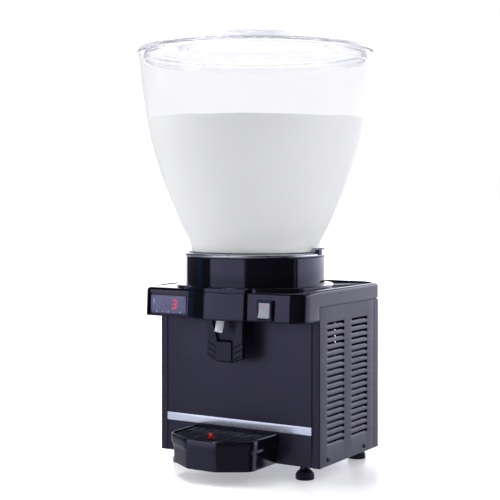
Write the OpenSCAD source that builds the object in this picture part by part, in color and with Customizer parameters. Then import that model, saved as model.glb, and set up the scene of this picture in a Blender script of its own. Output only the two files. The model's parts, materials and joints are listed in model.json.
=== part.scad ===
// Cold drink dispenser: a clear bowl of drink on a refrigerated cup, over a sheet-metal cabinet
// Millimetres. The origin is on the floor under the bowl axis, front towards -Y, +Z up.

/* [Cabinet] */
// Width over the side panels
cab_w = 290; // [280:1:310]
// Bowl axis forward to the front panel's face
cab_front = 54; // [50:1:56]
// Bowl axis back to the rear panel's face
cab_back = 146; // [142:1:165]
// Height of the panels, underside to top seam
cab_h = 240.5; // [232:0.5:270]
// Thickness of the outer panels
sheet_t = 1; // [0.8:0.1:1.5]
// Thickness of the floor pan, deck and posts
pan_t = 1.5; // [1.2:0.1:2]
// Height of the floor pan's upturned lips
pan_lip = 20; // [16:1:26]
// Leg width of the corner posts
post_leg = 22; // [18:1:26]
// Width of each side panel's flange on the front
flange_w = 13; // [10:0.5:18]
// How far the rear panel wraps round each side
wrap_w = 15; // [12:0.5:20]
// Height of the trim strip's lower edge over the cabinet's underside
strip_z = 48.5; // [46:0.5:70]
// Height of the trim strip
strip_h = 12.5; // [8:0.5:18]
// Thickness of the trim strip
strip_t = 1.2; // [0.8:0.1:2]

/* [Vents] */
// Number of slots in each column of a side panel
vent_rows = 19; // [10:1:19]
// Spacing of the slots
vent_pitch = 10; // [8:0.5:10]
// Height of one slot
vent_h = 3.6; // [3:0.1:4.5]
// Length of one slot
vent_len = 55; // [40:1:60]
// Height of the lowest slot over the cabinet's underside
vent_z = 34.5; // [30:0.5:38]
// Gap between the two columns of slots
vent_gap = 25; // [18:1:35]

/* [Feet] */
// Height of a foot under the cabinet
foot_h = 20.5; // [18:0.5:30]
// Radius of a foot's base
foot_r = 14.4; // [12:0.1:16]
// Radius of a foot's neck
foot_neck_r = 7.2; // [6:0.1:9]
// Radius of the foot stud
stud_r = 4; // [3:0.5:5]
// Foot centre in from each side of the cabinet
foot_in_x = 32; // [28:1:45]
// Foot centre in from the front and rear of the cabinet
foot_in_y = 13; // [12:0.5:24]

/* [Head] */
// Height of the head cover over the panel seam
head_h = 23; // [20:0.5:30]
// How far the head's front hangs below the panel seam
head_drop = 20; // [18:0.5:24]
// Bowl axis forward to the flat ear faces
ear_front = 110; // [108:0.5:116]
// Bowl axis forward to the front of the nose
nose_front = 126; // [122:0.5:130]
// Radius of the nose's round front
nose_r = 130; // [118:0.5:140]
// Half width of the nose
nose_half = 51.5; // [46:0.5:54]
// Radius of the ears' outer corners
ear_corner_r = 20; // [12:0.5:28]
// Radius of the rear corners
rear_corner_r = 8; // [4:0.5:14]
// Wall of the head cover
head_wall = 3; // [2:0.1:4]
// Radius of the raised ring round the collar
ring_r = 124.5; // [118:0.5:128]
// Height of the raised ring
ring_h = 6; // [4:0.5:10]
// Height of the lip along the head's rear edge
rear_lip_h = 5; // [3:0.5:8]

/* [Collar and cup] */
// Outer radius of the collar
collar_r = 110; // [108:0.5:113]
// Wall of the collar
collar_wall = 3; // [2:0.1:4]
// Height of the collar over the head cover
collar_h = 49; // [40:0.5:60]
// Inner radius of the cooling cup
cup_r = 98; // [96:0.5:99]
// Wall of the cooling cup
cup_wall = 1; // [0.8:0.1:1.5]
// Radius of the rolled bead on the cup's rim
bead_r = 3.3; // [2.6:0.1:3.5]
// Thickness of the foam under the cup
foam_t = 8; // [6:0.5:10]
// Thickness of the evaporator jacket
jacket_t = 3.5; // [2.5:0.1:4]
// Thickness of the bowl seal
seal_t = 3; // [2:0.1:4]

/* [Bowl] */
// Outer radius of the bowl's neck
neck_r = 102; // [101:0.5:103]
// Outer radius at the waist, where the flare is steepest
waist_r = 115.5; // [110:0.5:122]
// Height of the waist over the neck's foot
waist_z = 39; // [34:1:46]
// Outer radius at the shoulder
shoulder_r = 171.3; // [160:0.5:175]
// Height of the shoulder over the neck's foot
shoulder_z = 205; // [190:1:220]
// Outer radius at the rim
rim_r = 185; // [180:0.5:190]
// Height of the rim over the neck's foot
rim_z = 311; // [290:1:330]
// Wall of the bowl
bowl_wall = 3.5; // [2.5:0.1:4]
// Height of the drink's surface over the neck's foot
drink_z = 209; // [100:1:240]

/* [Lid] */
// How far the lid's edge overhangs the bowl
lid_over = 2.3; // [1.5:0.1:4]
// Height of the lid's edge band
lid_edge_h = 6; // [4:0.5:9]
// Depth of the lid's inner lip
lid_lip = 13; // [8:0.5:18]
// Radius of the raised disc
disc_r = 114; // [90:1:130]
// Rise from the edge band to the raised disc
lid_rise = 17; // [10:0.5:24]
// Height of the raised disc's step
disc_h = 4.7; // [3:0.1:8]
// Wall of the lid
lid_wall = 3; // [2:0.1:4]

/* [Tap] */
// Outer radius of the nozzle tube
nozzle_r = 6.2; // [5:0.1:7]
// Length of nozzle showing under the head
nozzle_len = 20; // [14:0.5:26]
// Forward lean of the nozzle
nozzle_lean = 17; // [10:1:20]
// Half width of the lever
lever_half = 32; // [28:0.5:34]
// Length of the lever under the head
lever_len = 67; // [56:0.5:80]
// Thickness of the lever
lever_t = 8; // [6:0.5:9]
// Half width of the lever's raised pad
pad_half = 14; // [10:0.5:16]
// Radius of the lever's pivot pin
pin_r = 2.5; // [2:0.1:3]

/* [Controls] */
// Width of the controller's face
ctrl_w = 66.5; // [58:0.5:68]
// Height of the controller's face
ctrl_h = 29; // [24:0.5:30]
// Width of the switch frame
switch_w = 25.5; // [22:0.5:28]
// Height of the switch frame
switch_h = 31; // [26:0.5:33]
// How far the switch frame stands proud of the ear
switch_proud = 5; // [2:0.5:7]
// Lean of the rocker at rest
rocker_lean = 8; // [5:0.5:10]

/* [Drip tray] */
// Width of the tray
tray_w = 151; // [135:1:165]
// Length of the tray out of the cabinet
tray_len = 105.5; // [100:0.5:114]
// Height of the tray
tray_h = 46; // [40:0.5:47]
// Tray underside over the cabinet's underside
tray_up = 0; // [-2:0.5:2]
// Length of the tray's straight sides
tray_side = 66.5; // [58:0.5:72]
// Half width of the tray's flat front
tray_front_half = 26; // [20:0.5:32]
// Wall of the tray
tray_wall = 3; // [2:0.1:3.5]
// Depth of the rim band round the tray
band_h = 16; // [12:0.5:20]
// Thickness of the grille
grille_t = 3.5; // [2.5:0.1:4.5]
// Radius of the float's button
float_r = 3.2; // [2.5:0.1:4]

/* [Cooling unit] */
// Radius of the compressor can
can_r = 50; // [44:0.5:52]
// Height of the compressor can
can_h = 112; // [95:1:118]
// Radius of the fan blades
fan_r = 54; // [46:0.5:56]
// Radius of the refrigerant lines
line_r = 3.2; // [2.5:0.1:3.5]
// Radius of the mixing paddle
paddle_r = 62; // [50:1:75]
// Bore of the cord gland
gland_bore = 8; // [6:0.5:9]

/* [Hidden] */
$fn = 64;
// Room between pieces that move apart
gap = 0.3;
// Room between fixed pieces that fit round each other
seat = 0.1;
// Radial room of a running shaft
run = 0.05;
// Overcut of a hole past a face
cut = 1;

// Cabinet levels and faces
half_w = cab_w / 2;
in_x = half_w - sheet_t;
y_front = -cab_front;
y_front_in = y_front + sheet_t;
y_rear = cab_back;
y_rear_in = y_rear - sheet_t;
z_under = foot_h;
z_pan = z_under + pan_t;
z_seam = z_under + cab_h;
deck_low = 8;
z_deck = z_seam - deck_low;
z_deck_in = z_deck - pan_t;
deck_lip = 15;
panel_half = half_w - flange_w - gap;
wrap_y = y_rear - wrap_w;
front_up = 8;

// Head levels
z_head = z_seam + head_h;
z_nose = z_seam - head_drop;
floor_t = 3;
z_floor = z_nose + floor_t;
y_head_back = y_front - gap;
nose_y = nose_r - nose_front;
round_a = 1;
round_b = 3;
ear_in = ear_front - head_wall;

// Collar and cup levels
z_collar = z_head + collar_h;
bead_c = collar_r - collar_wall / 2;
z_bead = z_collar + bead_r;
flange_t = 1;
z_flange = z_bead + flange_t;
z_cup = z_deck + foam_t + cup_wall;
cup_out = cup_r + cup_wall;
z_jacket = z_cup - cup_wall;
jacket_r = cup_out + seat + jacket_t;
jacket_low = 8;
jacket_top = z_collar - jacket_low;
collar_in = collar_r - collar_wall;
seal_out = bead_c - bead_r - gap;
z_seal = z_flange + seal_t;
lock_w = 9;
lock_y = 4;
lock_h = 4.5;
lock_over = 1;
tab_over = 5;
tab_t = 4;

// Bowl levels
z_bowl = z_seal + gap;
spigot_out = cup_r - 2 * gap;
spigot_len = 18;
spigot_t = 3;
spigot_in = spigot_out - spigot_t;
neck_h = 4;
waist_slope = 0.48;
shoulder_slope = 0.165;
rim_slope = 0.085;
z_rim = z_bowl + rim_z;

// Lid levels
lid_r = rim_r + lid_over;
lid_lip_room = 5;
lid_lip_r = rim_r - bowl_wall - lid_lip_room;
z_lid = z_rim + gap;
z_lid_edge = z_lid + lid_edge_h;
disc_slope = 12;

// Impeller and its drive
post_r = 3;
post_h = 18;
paddle_h = 20;
paddle_t = 4;
paddle_up = 1;
hub_r = 12;
hub_h = 24;
hollow_room = 4;
hollow_r = paddle_r + hollow_room;
hollow_h = hub_h + paddle_up + hollow_room;
rotor_r = 30;
rotor_h = 8;
rotor_room = 5;
rotor_hole = rotor_r + rotor_room;
rotor_under = 1.3;
z_rotor = z_cup - cup_wall - rotor_under - rotor_h;
shaft_r = 4;
shaft_in = 14;
motor_w = 64;
motor_h = 44;
motor_step = 4;
bracket_out = 12;
bracket_post_r = 4;
bracket_in = 8;
shaft_room = 2;
motor_under = 8;
z_motor = z_deck_in - motor_under;

// Tap: outlet from the cup floor, nozzle and lever pivot
outlet_y = -84;
outlet_r = 5;
outlet_boss = 9;
nozzle_y = -101;
nozzle_bore = 4;
nozzle_in = 7;
way_r = 3;
body_half = 13;
body_front = -112;
body_back = -78;
lever_y = -90;
pad_t = 3;
pad_h = 33;
wing_rise = 7;
pin_y = -70;
eye_r = 4.2;
pin_z = z_floor + eye_r;
arm_in = 17;
lug_in = lever_half - 1.5;
lug_w = 5;
pin_half = lug_in + lug_w;
arm_out = lug_in - 2 * gap;
spring_half = 12;
slot_room = 2;
recess_share = 0.75;
arm_low = 4;
groove_end = 2;
groove_low = 5;
groove_n = 3;
groove_pitch = 9;
groove_w = 1.4;
groove_d = 0.8;
groove_lean = 27;

// Controls
ctrl_edge = 17.4;
ctrl_x = -half_w + ctrl_edge + ctrl_w / 2;
ctrl_z = z_floor + gap + ctrl_h / 2;
ctrl_sunk = 5;
ctrl_y = -(ear_front - ctrl_sunk);
ctrl_t = 3;
ctrl_back_t = 2;
ctrl_deep = 12;
ctrl_side = 3.5;
ctrl_over = 4;
ctrl_corner = 3;
switch_edge = 60;
switch_low = 4;
switch_x = half_w - switch_edge;
switch_z = (z_nose + z_head) / 2 - switch_low;
bezel_t = 3;
switch_deep = 16;
rocker_w = switch_w - 2 * bezel_t - 2 * gap;
rocker_h = switch_h - 2 * bezel_t - 2 * gap;
rocker_y = -ear_front - switch_proud;
rocker_deep = 6;
rocker_room = 1;
pivot_r = 1.5;
pivot_out = 1;

// Drip tray
y_tray = y_front - gap;
y_tray_front = y_tray - tray_len;
z_tray = z_under + tray_up;
z_tray_top = z_tray + tray_h;
band_in = 2;
sole_in = 4;
sole_h = 3;
hook_x = 45;
hook_w = 12;
hook_h = 4;
hook_len = 10;
hook_up = 26;
z_hook = z_tray + hook_up;
grille_low = 2;
grille_in = tray_wall + gap;
z_grille = z_tray_top - grille_low - grille_t;
bar_pitch = 9;
bar_gap = 4.5;
bar_margin = 8;
cross_x = 24;
cross_w = 3;
back_slots = 20;
back_pitch = 6.5;
back_w = 3.6;
back_len = 7;
float_in = 32;
float_y = y_tray_front + float_in;
float_top = 5;
float_disc_r = 12;
float_disc_h = 8;
float_boss = 4;

// Feet
foot_x = half_w - foot_in_x;
foot_y = [y_front + foot_in_y, y_rear - foot_in_y];
foot_base_h = 8;
bush_h = 14;
stud_top = z_pan + bush_h;
stud_room = 1;
bush_r = 9;
rib_n = 24;
rib_r = 1;
rib_low = 2;

// Panel screws: [point on the outer face, turn about Z of the way in]
screw_r = 1.9;
screw_head_r = 4.5;
screw_head_h = 2.2;
screw_len = 7;
screw_up = 9;
screw_down = 7;
screw_in_x = 45;
screw_in_front = 28;
screw_in_rear = 50;
z_screw = z_under + screw_up;
z_screw_top = z_deck - screw_down;
screw_x = half_w - screw_in_x;
side_screw_y = [y_front + screw_in_front, y_rear - screw_in_rear];
screw_sites = concat(
    [for (s = [-1, 1], y = side_screw_y) [[s * half_w, y, z_screw], s > 0 ? 90 : -90]],
    [for (s = [-1, 1], z = [z_screw, z_screw_top]) [[s * screw_x, y_rear, z], 180]]);

// Cooling unit places
can_in_x = 20;
can_in_y = 40;
can_x = -half_w + can_in_x + can_r;
can_y = y_rear - can_in_y - can_r;
can_end = 0.8;
can_dome = 0.35;
plate_t = 3;
plate_over = 6;
grommet_h = 10;
grommet_r = 9;
grommet_bore = 3;
z_can = z_pan + grommet_h + plate_t;
stub_up = 8;
stub_wall = 1;
stub_x = can_r / 2;
cond_t = 36;
cond_in_x = 8;
cond_in_front = 26;
cond_in_rear = 36;
cond_x1 = in_x - cond_in_x;
cond_x0 = cond_x1 - cond_t;
cond_x = (cond_x0 + cond_x1) / 2;
cond_y0 = y_front + cond_in_front;
cond_y1 = y_rear - cond_in_rear;
cond_h = 170;
fin_n = 14;
fin_t = 1;
tube_rows = 6;
tube_in = 20;
cond_tube_r = 4;
shroud_t = 12;
shroud_sheet = 2;
shroud_foot = 8;
shroud_edge = 4;
shroud_x1 = cond_x0 - gap;
shroud_x0 = shroud_x1 - shroud_t;
fan_y = (cond_y0 + cond_y1) / 2;
fan_up = 90;
fan_z = z_pan + fan_up;
fan_ring_t = 3;
fan_clear = 2;
fan_ring_r = fan_r + fan_clear + fan_ring_t;
fan_hub_r = 15;
fan_hub_t = 10;
fan_x0 = shroud_x0 + 1;
fan_x1 = fan_x0 + fan_hub_t;
fan_n = 5;
blade_turn = 60;
blade_half = 14;
blade_t = 2;
fan_shaft_r = 2.5;
fan_shaft_in = 10;
fan_motor_r = 20;
fan_motor_len = 32;
fan_motor_off = 2;
fan_motor_x1 = shroud_x0 - fan_motor_off;
strut_w = 8;
strut_t = 5;
drier_r = 9;
drier_h = 90;
drier_up = 40;
drier_z = z_pan + drier_up;
line_over = 30;
line_turn_z = z_can + can_h + line_over;
line_step = 15;
evap_x = 20;
evap_y = sqrt(pow(cup_out + seat + jacket_t / 2, 2) - evap_x * evap_x);
line_in = 22;
low_line_z = z_pan + line_in;
top_line_z = low_line_z + cond_h - 2 * tube_in;
board_in_x = 45;
board_in_y = 18;
board_x = -half_w + board_in_x;
board_y = y_front + board_in_y;
board_w = 62;
board_h = 100;
board_foot = 20;
board_low = 8;
board_off = 6;
board_t = 1.6;
stand_r = 3;
stand_in = 5;
stand_low = 15;
relay_n = 3;
relay = [14, 15, 24];
relay_pitch = 18;
relay_z = 14;
coil = [28, 22, 30];
coil_z = 50;
part_in = 6;
gland_in_x = 60;
gland_up = 60;
gland_x = half_w - gland_in_x;
gland_z = z_under + gland_up;
gland_flange = 11;
gland_neck = 8;
gland_out = 6;
gland_in = 10;
gland_flange_t = 3;

// A box between two corners
module box(a, b) {
    translate(a) cube(b - a);
}

// A tube standing on z
module tube(r_in, r_out, z, h) {
    translate([0, 0, z]) difference() {
        cylinder(r = r_out, h = h);
        translate([0, 0, -cut]) cylinder(r = r_in, h = h + 2 * cut);
    }
}

// A rod along +X from x0 to x1
module rod_x(r, x0, x1) {
    translate([x0, 0, 0]) rotate([0, 90, 0]) cylinder(r = r, h = x1 - x0);
}

// A solid of an XZ outline between two depths
module upright(y0, y1) {
    translate([0, y1, 0]) rotate([90, 0, 0]) linear_extrude(y1 - y0) children();
}

// A slot with round ends, long along X, in the plane
module slot_2d(len, h) {
    square([len - h, h], center = true);
    for (s = [-1, 1]) translate([s * (len - h) / 2, 0]) circle(d = h);
}

// Two columns of slots that rise along Y of the plane
module vent_field() {
    for (s = [-1, 1], i = [0 : vent_rows - 1])
        translate([s * (vent_len + vent_gap) / 2, i * vent_pitch]) slot_2d(vent_len, vent_h);
}

// The screws' shanks, with some room round them for holes
module screw_shanks(room) {
    for (s = screw_sites)
        translate(s[0]) rotate([0, 0, s[1]]) rotate([-90, 0, 0])
            translate([0, 0, -cut]) cylinder(r = screw_r + room, h = screw_len + cut);
}

// Puts a child at each foot
module at_feet() {
    for (s = [-1, 1], y = foot_y) translate([s * foot_x, y, 0]) children();
}

module base_pan() {
    color("dimgray") difference() {
        box([-in_x, y_front_in, z_under], [in_x, y_rear_in, z_under + pan_lip]);
        box([-in_x + pan_t, y_front_in + pan_t, z_pan],
            [in_x - pan_t, y_rear_in - pan_t, z_under + pan_lip + cut]);
        at_feet() translate([0, 0, z_under - cut]) cylinder(r = stud_r + 2 * gap, h = pan_t + 2 * cut);
        screw_shanks(seat);
    }
}

// One corner post, in the corner that the two signs name
module corner_post(sx, y, sy) {
    x = in_x - pan_t;
    translate([sx * x, y, z_pan]) mirror([sx > 0 ? 1 : 0, 0, 0]) mirror([0, sy > 0 ? 1 : 0, 0])
        linear_extrude(z_deck_in - z_pan)
            polygon([[0, 0], [post_leg, 0], [post_leg, pan_t], [pan_t, pan_t],
                [pan_t, post_leg], [0, post_leg]]);
}

module corner_posts() {
    color("gray") for (sx = [-1, 1]) {
        corner_post(sx, y_front_in + pan_t, -1);
        corner_post(sx, y_rear_in - pan_t, 1);
    }
}

module deck_plate() {
    color("gray") difference() {
        box([-in_x, y_front_in, z_deck - deck_lip], [in_x, y_rear_in, z_deck]);
        box([-in_x + pan_t, y_front_in + pan_t, z_deck - deck_lip - cut],
            [in_x - pan_t, y_rear_in - pan_t, z_deck_in]);
        translate([0, 0, z_deck_in - cut]) cylinder(r = rotor_hole, h = pan_t + 2 * cut);
        for (s = [-1, 1]) translate([s * evap_x, evap_y, z_deck_in - cut])
            cylinder(r = line_r + 2 * gap, h = pan_t + 2 * cut);
        screw_shanks(seat);
    }
}

module front_panel() {
    color("#232029") difference() {
        box([-panel_half, y_front, z_under], [panel_half, y_front_in, z_nose + front_up]);
        for (s = [-1, 1]) box([s * hook_x - hook_w / 2 - gap, y_front - cut, z_hook - gap],
            [s * hook_x + hook_w / 2 + gap, y_front_in + cut, z_hook + hook_h + gap]);
    }
}

// The right-hand side panel: slotted web and front flange
module side_panel() {
    mid_y = (y_front + wrap_y) / 2;
    difference() {
        union() {
            box([in_x, y_front, z_under], [half_w, wrap_y - gap, z_seam]);
            box([half_w - flange_w, y_front, z_under], [half_w, y_front_in, z_seam]);
        }
        translate([in_x - cut, mid_y, z_under + vent_z]) rotate([90, 0, 90])
            linear_extrude(sheet_t + 2 * cut) vent_field();
        screw_shanks(seat);
    }
}

module side_panel_right() {
    color("#2b2833") side_panel();
}

module side_panel_left() {
    color("#2b2833") mirror([1, 0, 0]) side_panel();
}

module rear_panel() {
    color("#2b2833") difference() {
        union() {
            box([-half_w, y_rear_in, z_under], [half_w, y_rear, z_seam]);
            for (s = [0, 1]) mirror([s, 0, 0]) box([in_x, wrap_y, z_under], [half_w, y_rear, z_seam]);
        }
        translate([0, y_rear + cut, z_under + vent_z + 2 * vent_pitch]) rotate([90, 0, 0])
            linear_extrude(sheet_t + 2 * cut) vent_field();
        translate([gland_x, y_rear + cut, gland_z]) rotate([90, 0, 0])
            cylinder(r = gland_neck + seat, h = sheet_t + 2 * cut);
        screw_shanks(seat);
    }
}

module trim_strip() {
    color("#cdd5ea") box([-panel_half, y_front - strip_t, z_under + strip_z],
        [panel_half, y_front, z_under + strip_z + strip_h]);
}

module panel_screws() {
    color("#18161c") for (s = screw_sites)
        translate(s[0]) rotate([0, 0, s[1]]) rotate([-90, 0, 0]) {
            translate([0, 0, -screw_head_h]) cylinder(r = screw_r, h = screw_len + screw_head_h);
            translate([0, 0, -screw_head_h]) cylinder(r = screw_head_r, h = screw_head_h);
        }
}

module foot_bushes() {
    color("silver") at_feet() tube(stud_r + run, bush_r, z_pan, stud_top - z_pan);
}

// Plan of the head, drawn in by d
module head_plan(d) {
    w = half_w - d;
    front_r = ear_corner_r - d;
    back_r = rear_corner_r - d;
    long = ear_front - ear_corner_r + y_rear - rear_corner_r;
    translate([-w, -ear_front + ear_corner_r]) square([2 * w, long]);
    translate([-w + front_r, -ear_front + d]) square([2 * (w - front_r), ear_corner_r]);
    translate([-w + back_r, y_rear - rear_corner_r]) square([2 * (w - back_r), back_r]);
    for (s = [-1, 1]) {
        translate([s * (w - front_r), -ear_front + ear_corner_r]) circle(r = front_r);
        translate([s * (w - back_r), y_rear - rear_corner_r]) circle(r = back_r);
    }
    intersection() {
        translate([0, nose_y]) circle(r = nose_r - d);
        translate([-nose_half + d, -nose_front]) square([2 * (nose_half - d), nose_front]);
    }
}

// A slab of the head's plan between two levels
module head_slab(d, z0, z1) {
    translate([0, 0, z0]) linear_extrude(z1 - z0) head_plan(d);
}

module head_cover() {
    color("#111014") difference() {
        union() {
            head_slab(0, z_nose, z_head - round_b);
            head_slab(round_a, z_nose, z_head - round_a);
            head_slab(round_b, z_nose, z_head);
            intersection() {
                translate([0, 0, z_head - round_b]) {
                    cylinder(r = ring_r, h = round_b + ring_h - round_a);
                    cylinder(r = ring_r - round_a, h = round_b + ring_h);
                }
                head_slab(round_a, z_nose, z_head + ring_h + cut);
            }
            box([-half_w + rear_corner_r, y_rear - 2 * head_wall, z_head - head_wall],
                [half_w - rear_corner_r, y_rear - head_wall, z_head + rear_lip_h]);
        }
        head_slab(head_wall, z_nose - cut, z_head - head_wall);
        translate([0, 0, z_nose]) cylinder(r = collar_r + seat, h = z_head + ring_h - z_nose + cut);
        box([-half_w - cut, y_head_back, z_nose - cut], [half_w + cut, y_rear + cut, z_seam]);
        box([ctrl_x - ctrl_w / 2 - ctrl_side, -ear_front - cut, z_floor],
            [ctrl_x + ctrl_w / 2 + ctrl_side, ctrl_y + ctrl_t, ctrl_z + ctrl_h / 2 + ctrl_over]);
        translate([switch_x, 0, switch_z]) box(
            [-switch_w / 2 + bezel_t / 2 - seat, -ear_front - cut, -switch_h / 2 + bezel_t / 2 - seat],
            [switch_w / 2 - bezel_t / 2 + seat, -ear_in + cut, switch_h / 2 - bezel_t / 2 + seat]);
    }
}

module head_floor() {
    color("#1a181e") difference() {
        union() {
            intersection() {
                head_slab(head_wall + seat, z_nose, z_floor);
                box([-half_w, -nose_front, z_nose - cut], [half_w, y_head_back, z_floor + cut]);
            }
            for (s = [0, 1]) mirror([s, 0, 0])
                box([lug_in, pin_y - eye_r, z_nose], [lug_in + lug_w, pin_y + eye_r, pin_z + eye_r]);
        }
        box([-lug_in, lever_y - slot_room, z_nose - cut], [lug_in, pin_y + 2 * eye_r, z_floor + cut]);
        box([-nozzle_r - slot_room, nozzle_y - 2 * nozzle_r, z_nose - cut],
            [nozzle_r + slot_room, lever_y, z_floor + cut]);
        translate([0, pin_y, pin_z]) rod_x(pin_r + run, -half_w, half_w);
    }
}

module collar() {
    color("#111014") tube(collar_in, collar_r, z_deck, z_collar - z_deck);
}

module cooling_cup() {
    color("#c9ccd2") difference() {
        union() {
            tube(cup_r, cup_out, z_cup - cup_wall, z_flange - z_cup + cup_wall);
            translate([0, 0, z_cup - cup_wall]) cylinder(r = cup_out, h = cup_wall);
            tube(cup_r, bead_c, z_bead, flange_t);
            rotate_extrude() translate([bead_c, z_bead]) circle(r = bead_r);
        }
        translate([0, outlet_y, z_cup - 2 * cut]) cylinder(r = outlet_r, h = 3 * cut);
        translate([0, 0, z_cup - 2 * cut]) cylinder(r = post_r + seat, h = 3 * cut);
    }
}

module evaporator_jacket() {
    color("#b87333") tube(cup_out + seat, jacket_r, z_jacket, jacket_top - z_jacket);
}

module cup_foam() {
    color("#e8dfb8") difference() {
        translate([0, 0, z_deck]) cylinder(r = collar_in - seat, h = jacket_top - z_deck);
        translate([0, 0, z_cup - cup_wall]) cylinder(r = jacket_r + seat, h = jacket_top);
        translate([0, 0, z_deck - cut]) cylinder(r = rotor_hole, h = foam_t + 2 * cut);
        translate([0, outlet_y, z_deck - cut]) cylinder(r = outlet_boss + seat, h = foam_t + 2 * cut);
        for (s = [-1, 1]) translate([s * evap_x, evap_y, z_deck - cut])
            cylinder(r = line_r + seat, h = foam_t + 2 * cut);
    }
}

module bowl_seal() {
    color("#2a2a2e") tube(cup_r + gap, seal_out, z_flange, seal_t);
}

// The catch on the cup's bead that the bowl's tab locks over
module lock_post() {
    color("#1a181e") difference() {
        box([seal_out + gap, lock_y, z_bead],
            [bead_c + bead_r + lock_over, lock_y + lock_w, z_bead + bead_r + lock_h]);
        rotate_extrude() translate([bead_c, z_bead]) circle(r = bead_r + seat);
        translate([0, 0, z_bead - cut]) cylinder(r = seal_out + gap, h = bead_r + lock_h + 2 * cut);
    }
}

module controller_body() {
    x0 = ctrl_x - ctrl_w / 2;
    x1 = ctrl_x + ctrl_w / 2;
    color("#2b2a33") {
        box([x0 - ctrl_side, ctrl_y + ctrl_t, z_floor],
            [x1 + ctrl_side, ctrl_y + ctrl_t + ctrl_back_t, ctrl_z + ctrl_h / 2 + ctrl_over]);
        box([x0 + ctrl_side, ctrl_y + ctrl_t, z_floor],
            [x1 - ctrl_side, ctrl_y + ctrl_t + ctrl_deep, ctrl_z + ctrl_h / 2]);
    }
}

module controller_face() {
    half_x = ctrl_w / 2 - ctrl_corner;
    half_z = ctrl_h / 2 - ctrl_corner;
    color("#62627f") translate([ctrl_x, 0, ctrl_z]) upright(ctrl_y, ctrl_y + ctrl_t) {
        square([2 * half_x, ctrl_h], center = true);
        square([ctrl_w, 2 * half_z], center = true);
        for (sx = [-1, 1], sz = [-1, 1]) translate([sx * half_x, sz * half_z]) circle(r = ctrl_corner);
    }
}

module switch_frame() {
    inner_w = switch_w / 2 - bezel_t / 2;
    inner_h = switch_h / 2 - bezel_t / 2;
    color("#1d1b22") translate([switch_x, 0, switch_z]) difference() {
        union() {
            box([-switch_w / 2, rocker_y, -switch_h / 2], [switch_w / 2, -ear_front, switch_h / 2]);
            box([-inner_w, rocker_y, -inner_h], [inner_w, -ear_front + switch_deep, inner_h]);
        }
        box([-switch_w / 2 + bezel_t, rocker_y - cut, -switch_h / 2 + bezel_t],
            [switch_w / 2 - bezel_t, -ear_front + switch_deep - bezel_t, switch_h / 2 - bezel_t]);
        translate([0, rocker_y + rocker_deep / 2, 0]) rod_x(pivot_r + run, -inner_w, inner_w);
    }
}

module rocker() {
    v = rocker_h / 2 * tan(rocker_lean);
    back = rocker_deep;
    tip = rocker_h / 2 - rocker_room;
    color("#c9c9d2") translate([switch_x, rocker_y + back / 2, switch_z]) rotate([-rocker_lean, 0, 0]) {
        translate([-rocker_w / 2, 0, 0]) rotate([90, 0, 90]) linear_extrude(rocker_w)
            polygon([[-back / 2, 0], [-back / 2 - v, -tip], [0, -tip], [back, -rocker_h / 4],
                [back, rocker_h / 4], [0, tip], [-back / 2 - v, tip]]);
        rod_x(pivot_r, -rocker_w / 2 - pivot_out, rocker_w / 2 + pivot_out);
    }
}

// The nozzle's own line: along it from the head's underside, up is positive
module on_nozzle() {
    translate([0, nozzle_y, z_nose]) rotate([-nozzle_lean, 0, 0]) children();
}

module tap_body() {
    top = z_deck - seat;
    way_z = (z_floor + top) / 2;
    color("#e4e4e6") difference() {
        union() {
            box([-body_half, body_front, z_floor], [body_half, body_back, top]);
            translate([0, outlet_y, way_z]) cylinder(r = outlet_boss, h = z_cup - cup_wall - way_z);
        }
        translate([0, outlet_y, way_z]) cylinder(r = outlet_r, h = z_cup - way_z);
        translate([0, nozzle_y, way_z]) rotate([-90, 0, 0]) cylinder(r = way_r, h = outlet_y - nozzle_y);
        on_nozzle() cylinder(r = nozzle_r + seat, h = nozzle_in);
    }
}

module tap_nozzle() {
    color("#e9e9ee") on_nozzle() tube(nozzle_bore, nozzle_r, -nozzle_len, nozzle_len + nozzle_in);
}

module lever_pin() {
    color("silver") translate([0, pin_y, pin_z]) rod_x(pin_r, -pin_half, pin_half);
}

module lever_spring() {
    color("silver") translate([0, pin_y, pin_z]) difference() {
        rod_x(eye_r, -spring_half, spring_half);
        rod_x(pin_r + seat, -spring_half - cut, spring_half + cut);
    }
}

module tap_lever() {
    top = z_nose - 2 * gap;
    low = z_nose - lever_len;
    pad_top = low + pad_h;
    recess_half = lever_half * recess_share;
    groove_z = low + wing_rise + groove_low;
    groove_len = lever_half - pad_half - 2 * groove_end;
    color("#17151b") difference() {
        union() {
            upright(lever_y, lever_y + lever_t) polygon([[-lever_half, top], [-lever_half, low + wing_rise],
                [-pad_half, low], [pad_half, low], [lever_half, low + wing_rise], [lever_half, top]]);
            upright(lever_y - pad_t, lever_y + pad_t) polygon([[-pad_half, low], [pad_half, low],
                [pad_half, pad_top], [-pad_half, pad_top]]);
            for (s = [0, 1]) mirror([s, 0, 0]) translate([arm_in, 0, 0]) rotate([90, 0, 90])
                linear_extrude(arm_out - arm_in) {
                    polygon([[lever_y, top - arm_low], [lever_y + lever_t, top - arm_low],
                        [pin_y + eye_r, pin_z], [pin_y, pin_z + eye_r], [lever_y, z_floor]]);
                    translate([pin_y, pin_z]) circle(r = eye_r);
                }
        }
        upright(lever_y - cut, lever_y + lever_t - pad_t) polygon([[-pad_half, pad_top],
            [pad_half, pad_top], [recess_half, top + cut], [-recess_half, top + cut]]);
        for (s = [0, 1], i = [0 : groove_n - 1]) mirror([s, 0, 0])
            translate([lever_half - groove_end, lever_y, groove_z + i * groove_pitch])
                rotate([0, -groove_lean, 0])
                    translate([-groove_len, -cut, 0]) cube([groove_len, groove_d + cut, groove_w]);
        translate([0, pin_y, pin_z]) rod_x(pin_r + run, -half_w, half_w);
    }
}

module impeller_post() {
    color("silver") translate([0, 0, z_cup - cup_wall]) cylinder(r = post_r, h = cup_wall + post_h);
}

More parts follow.
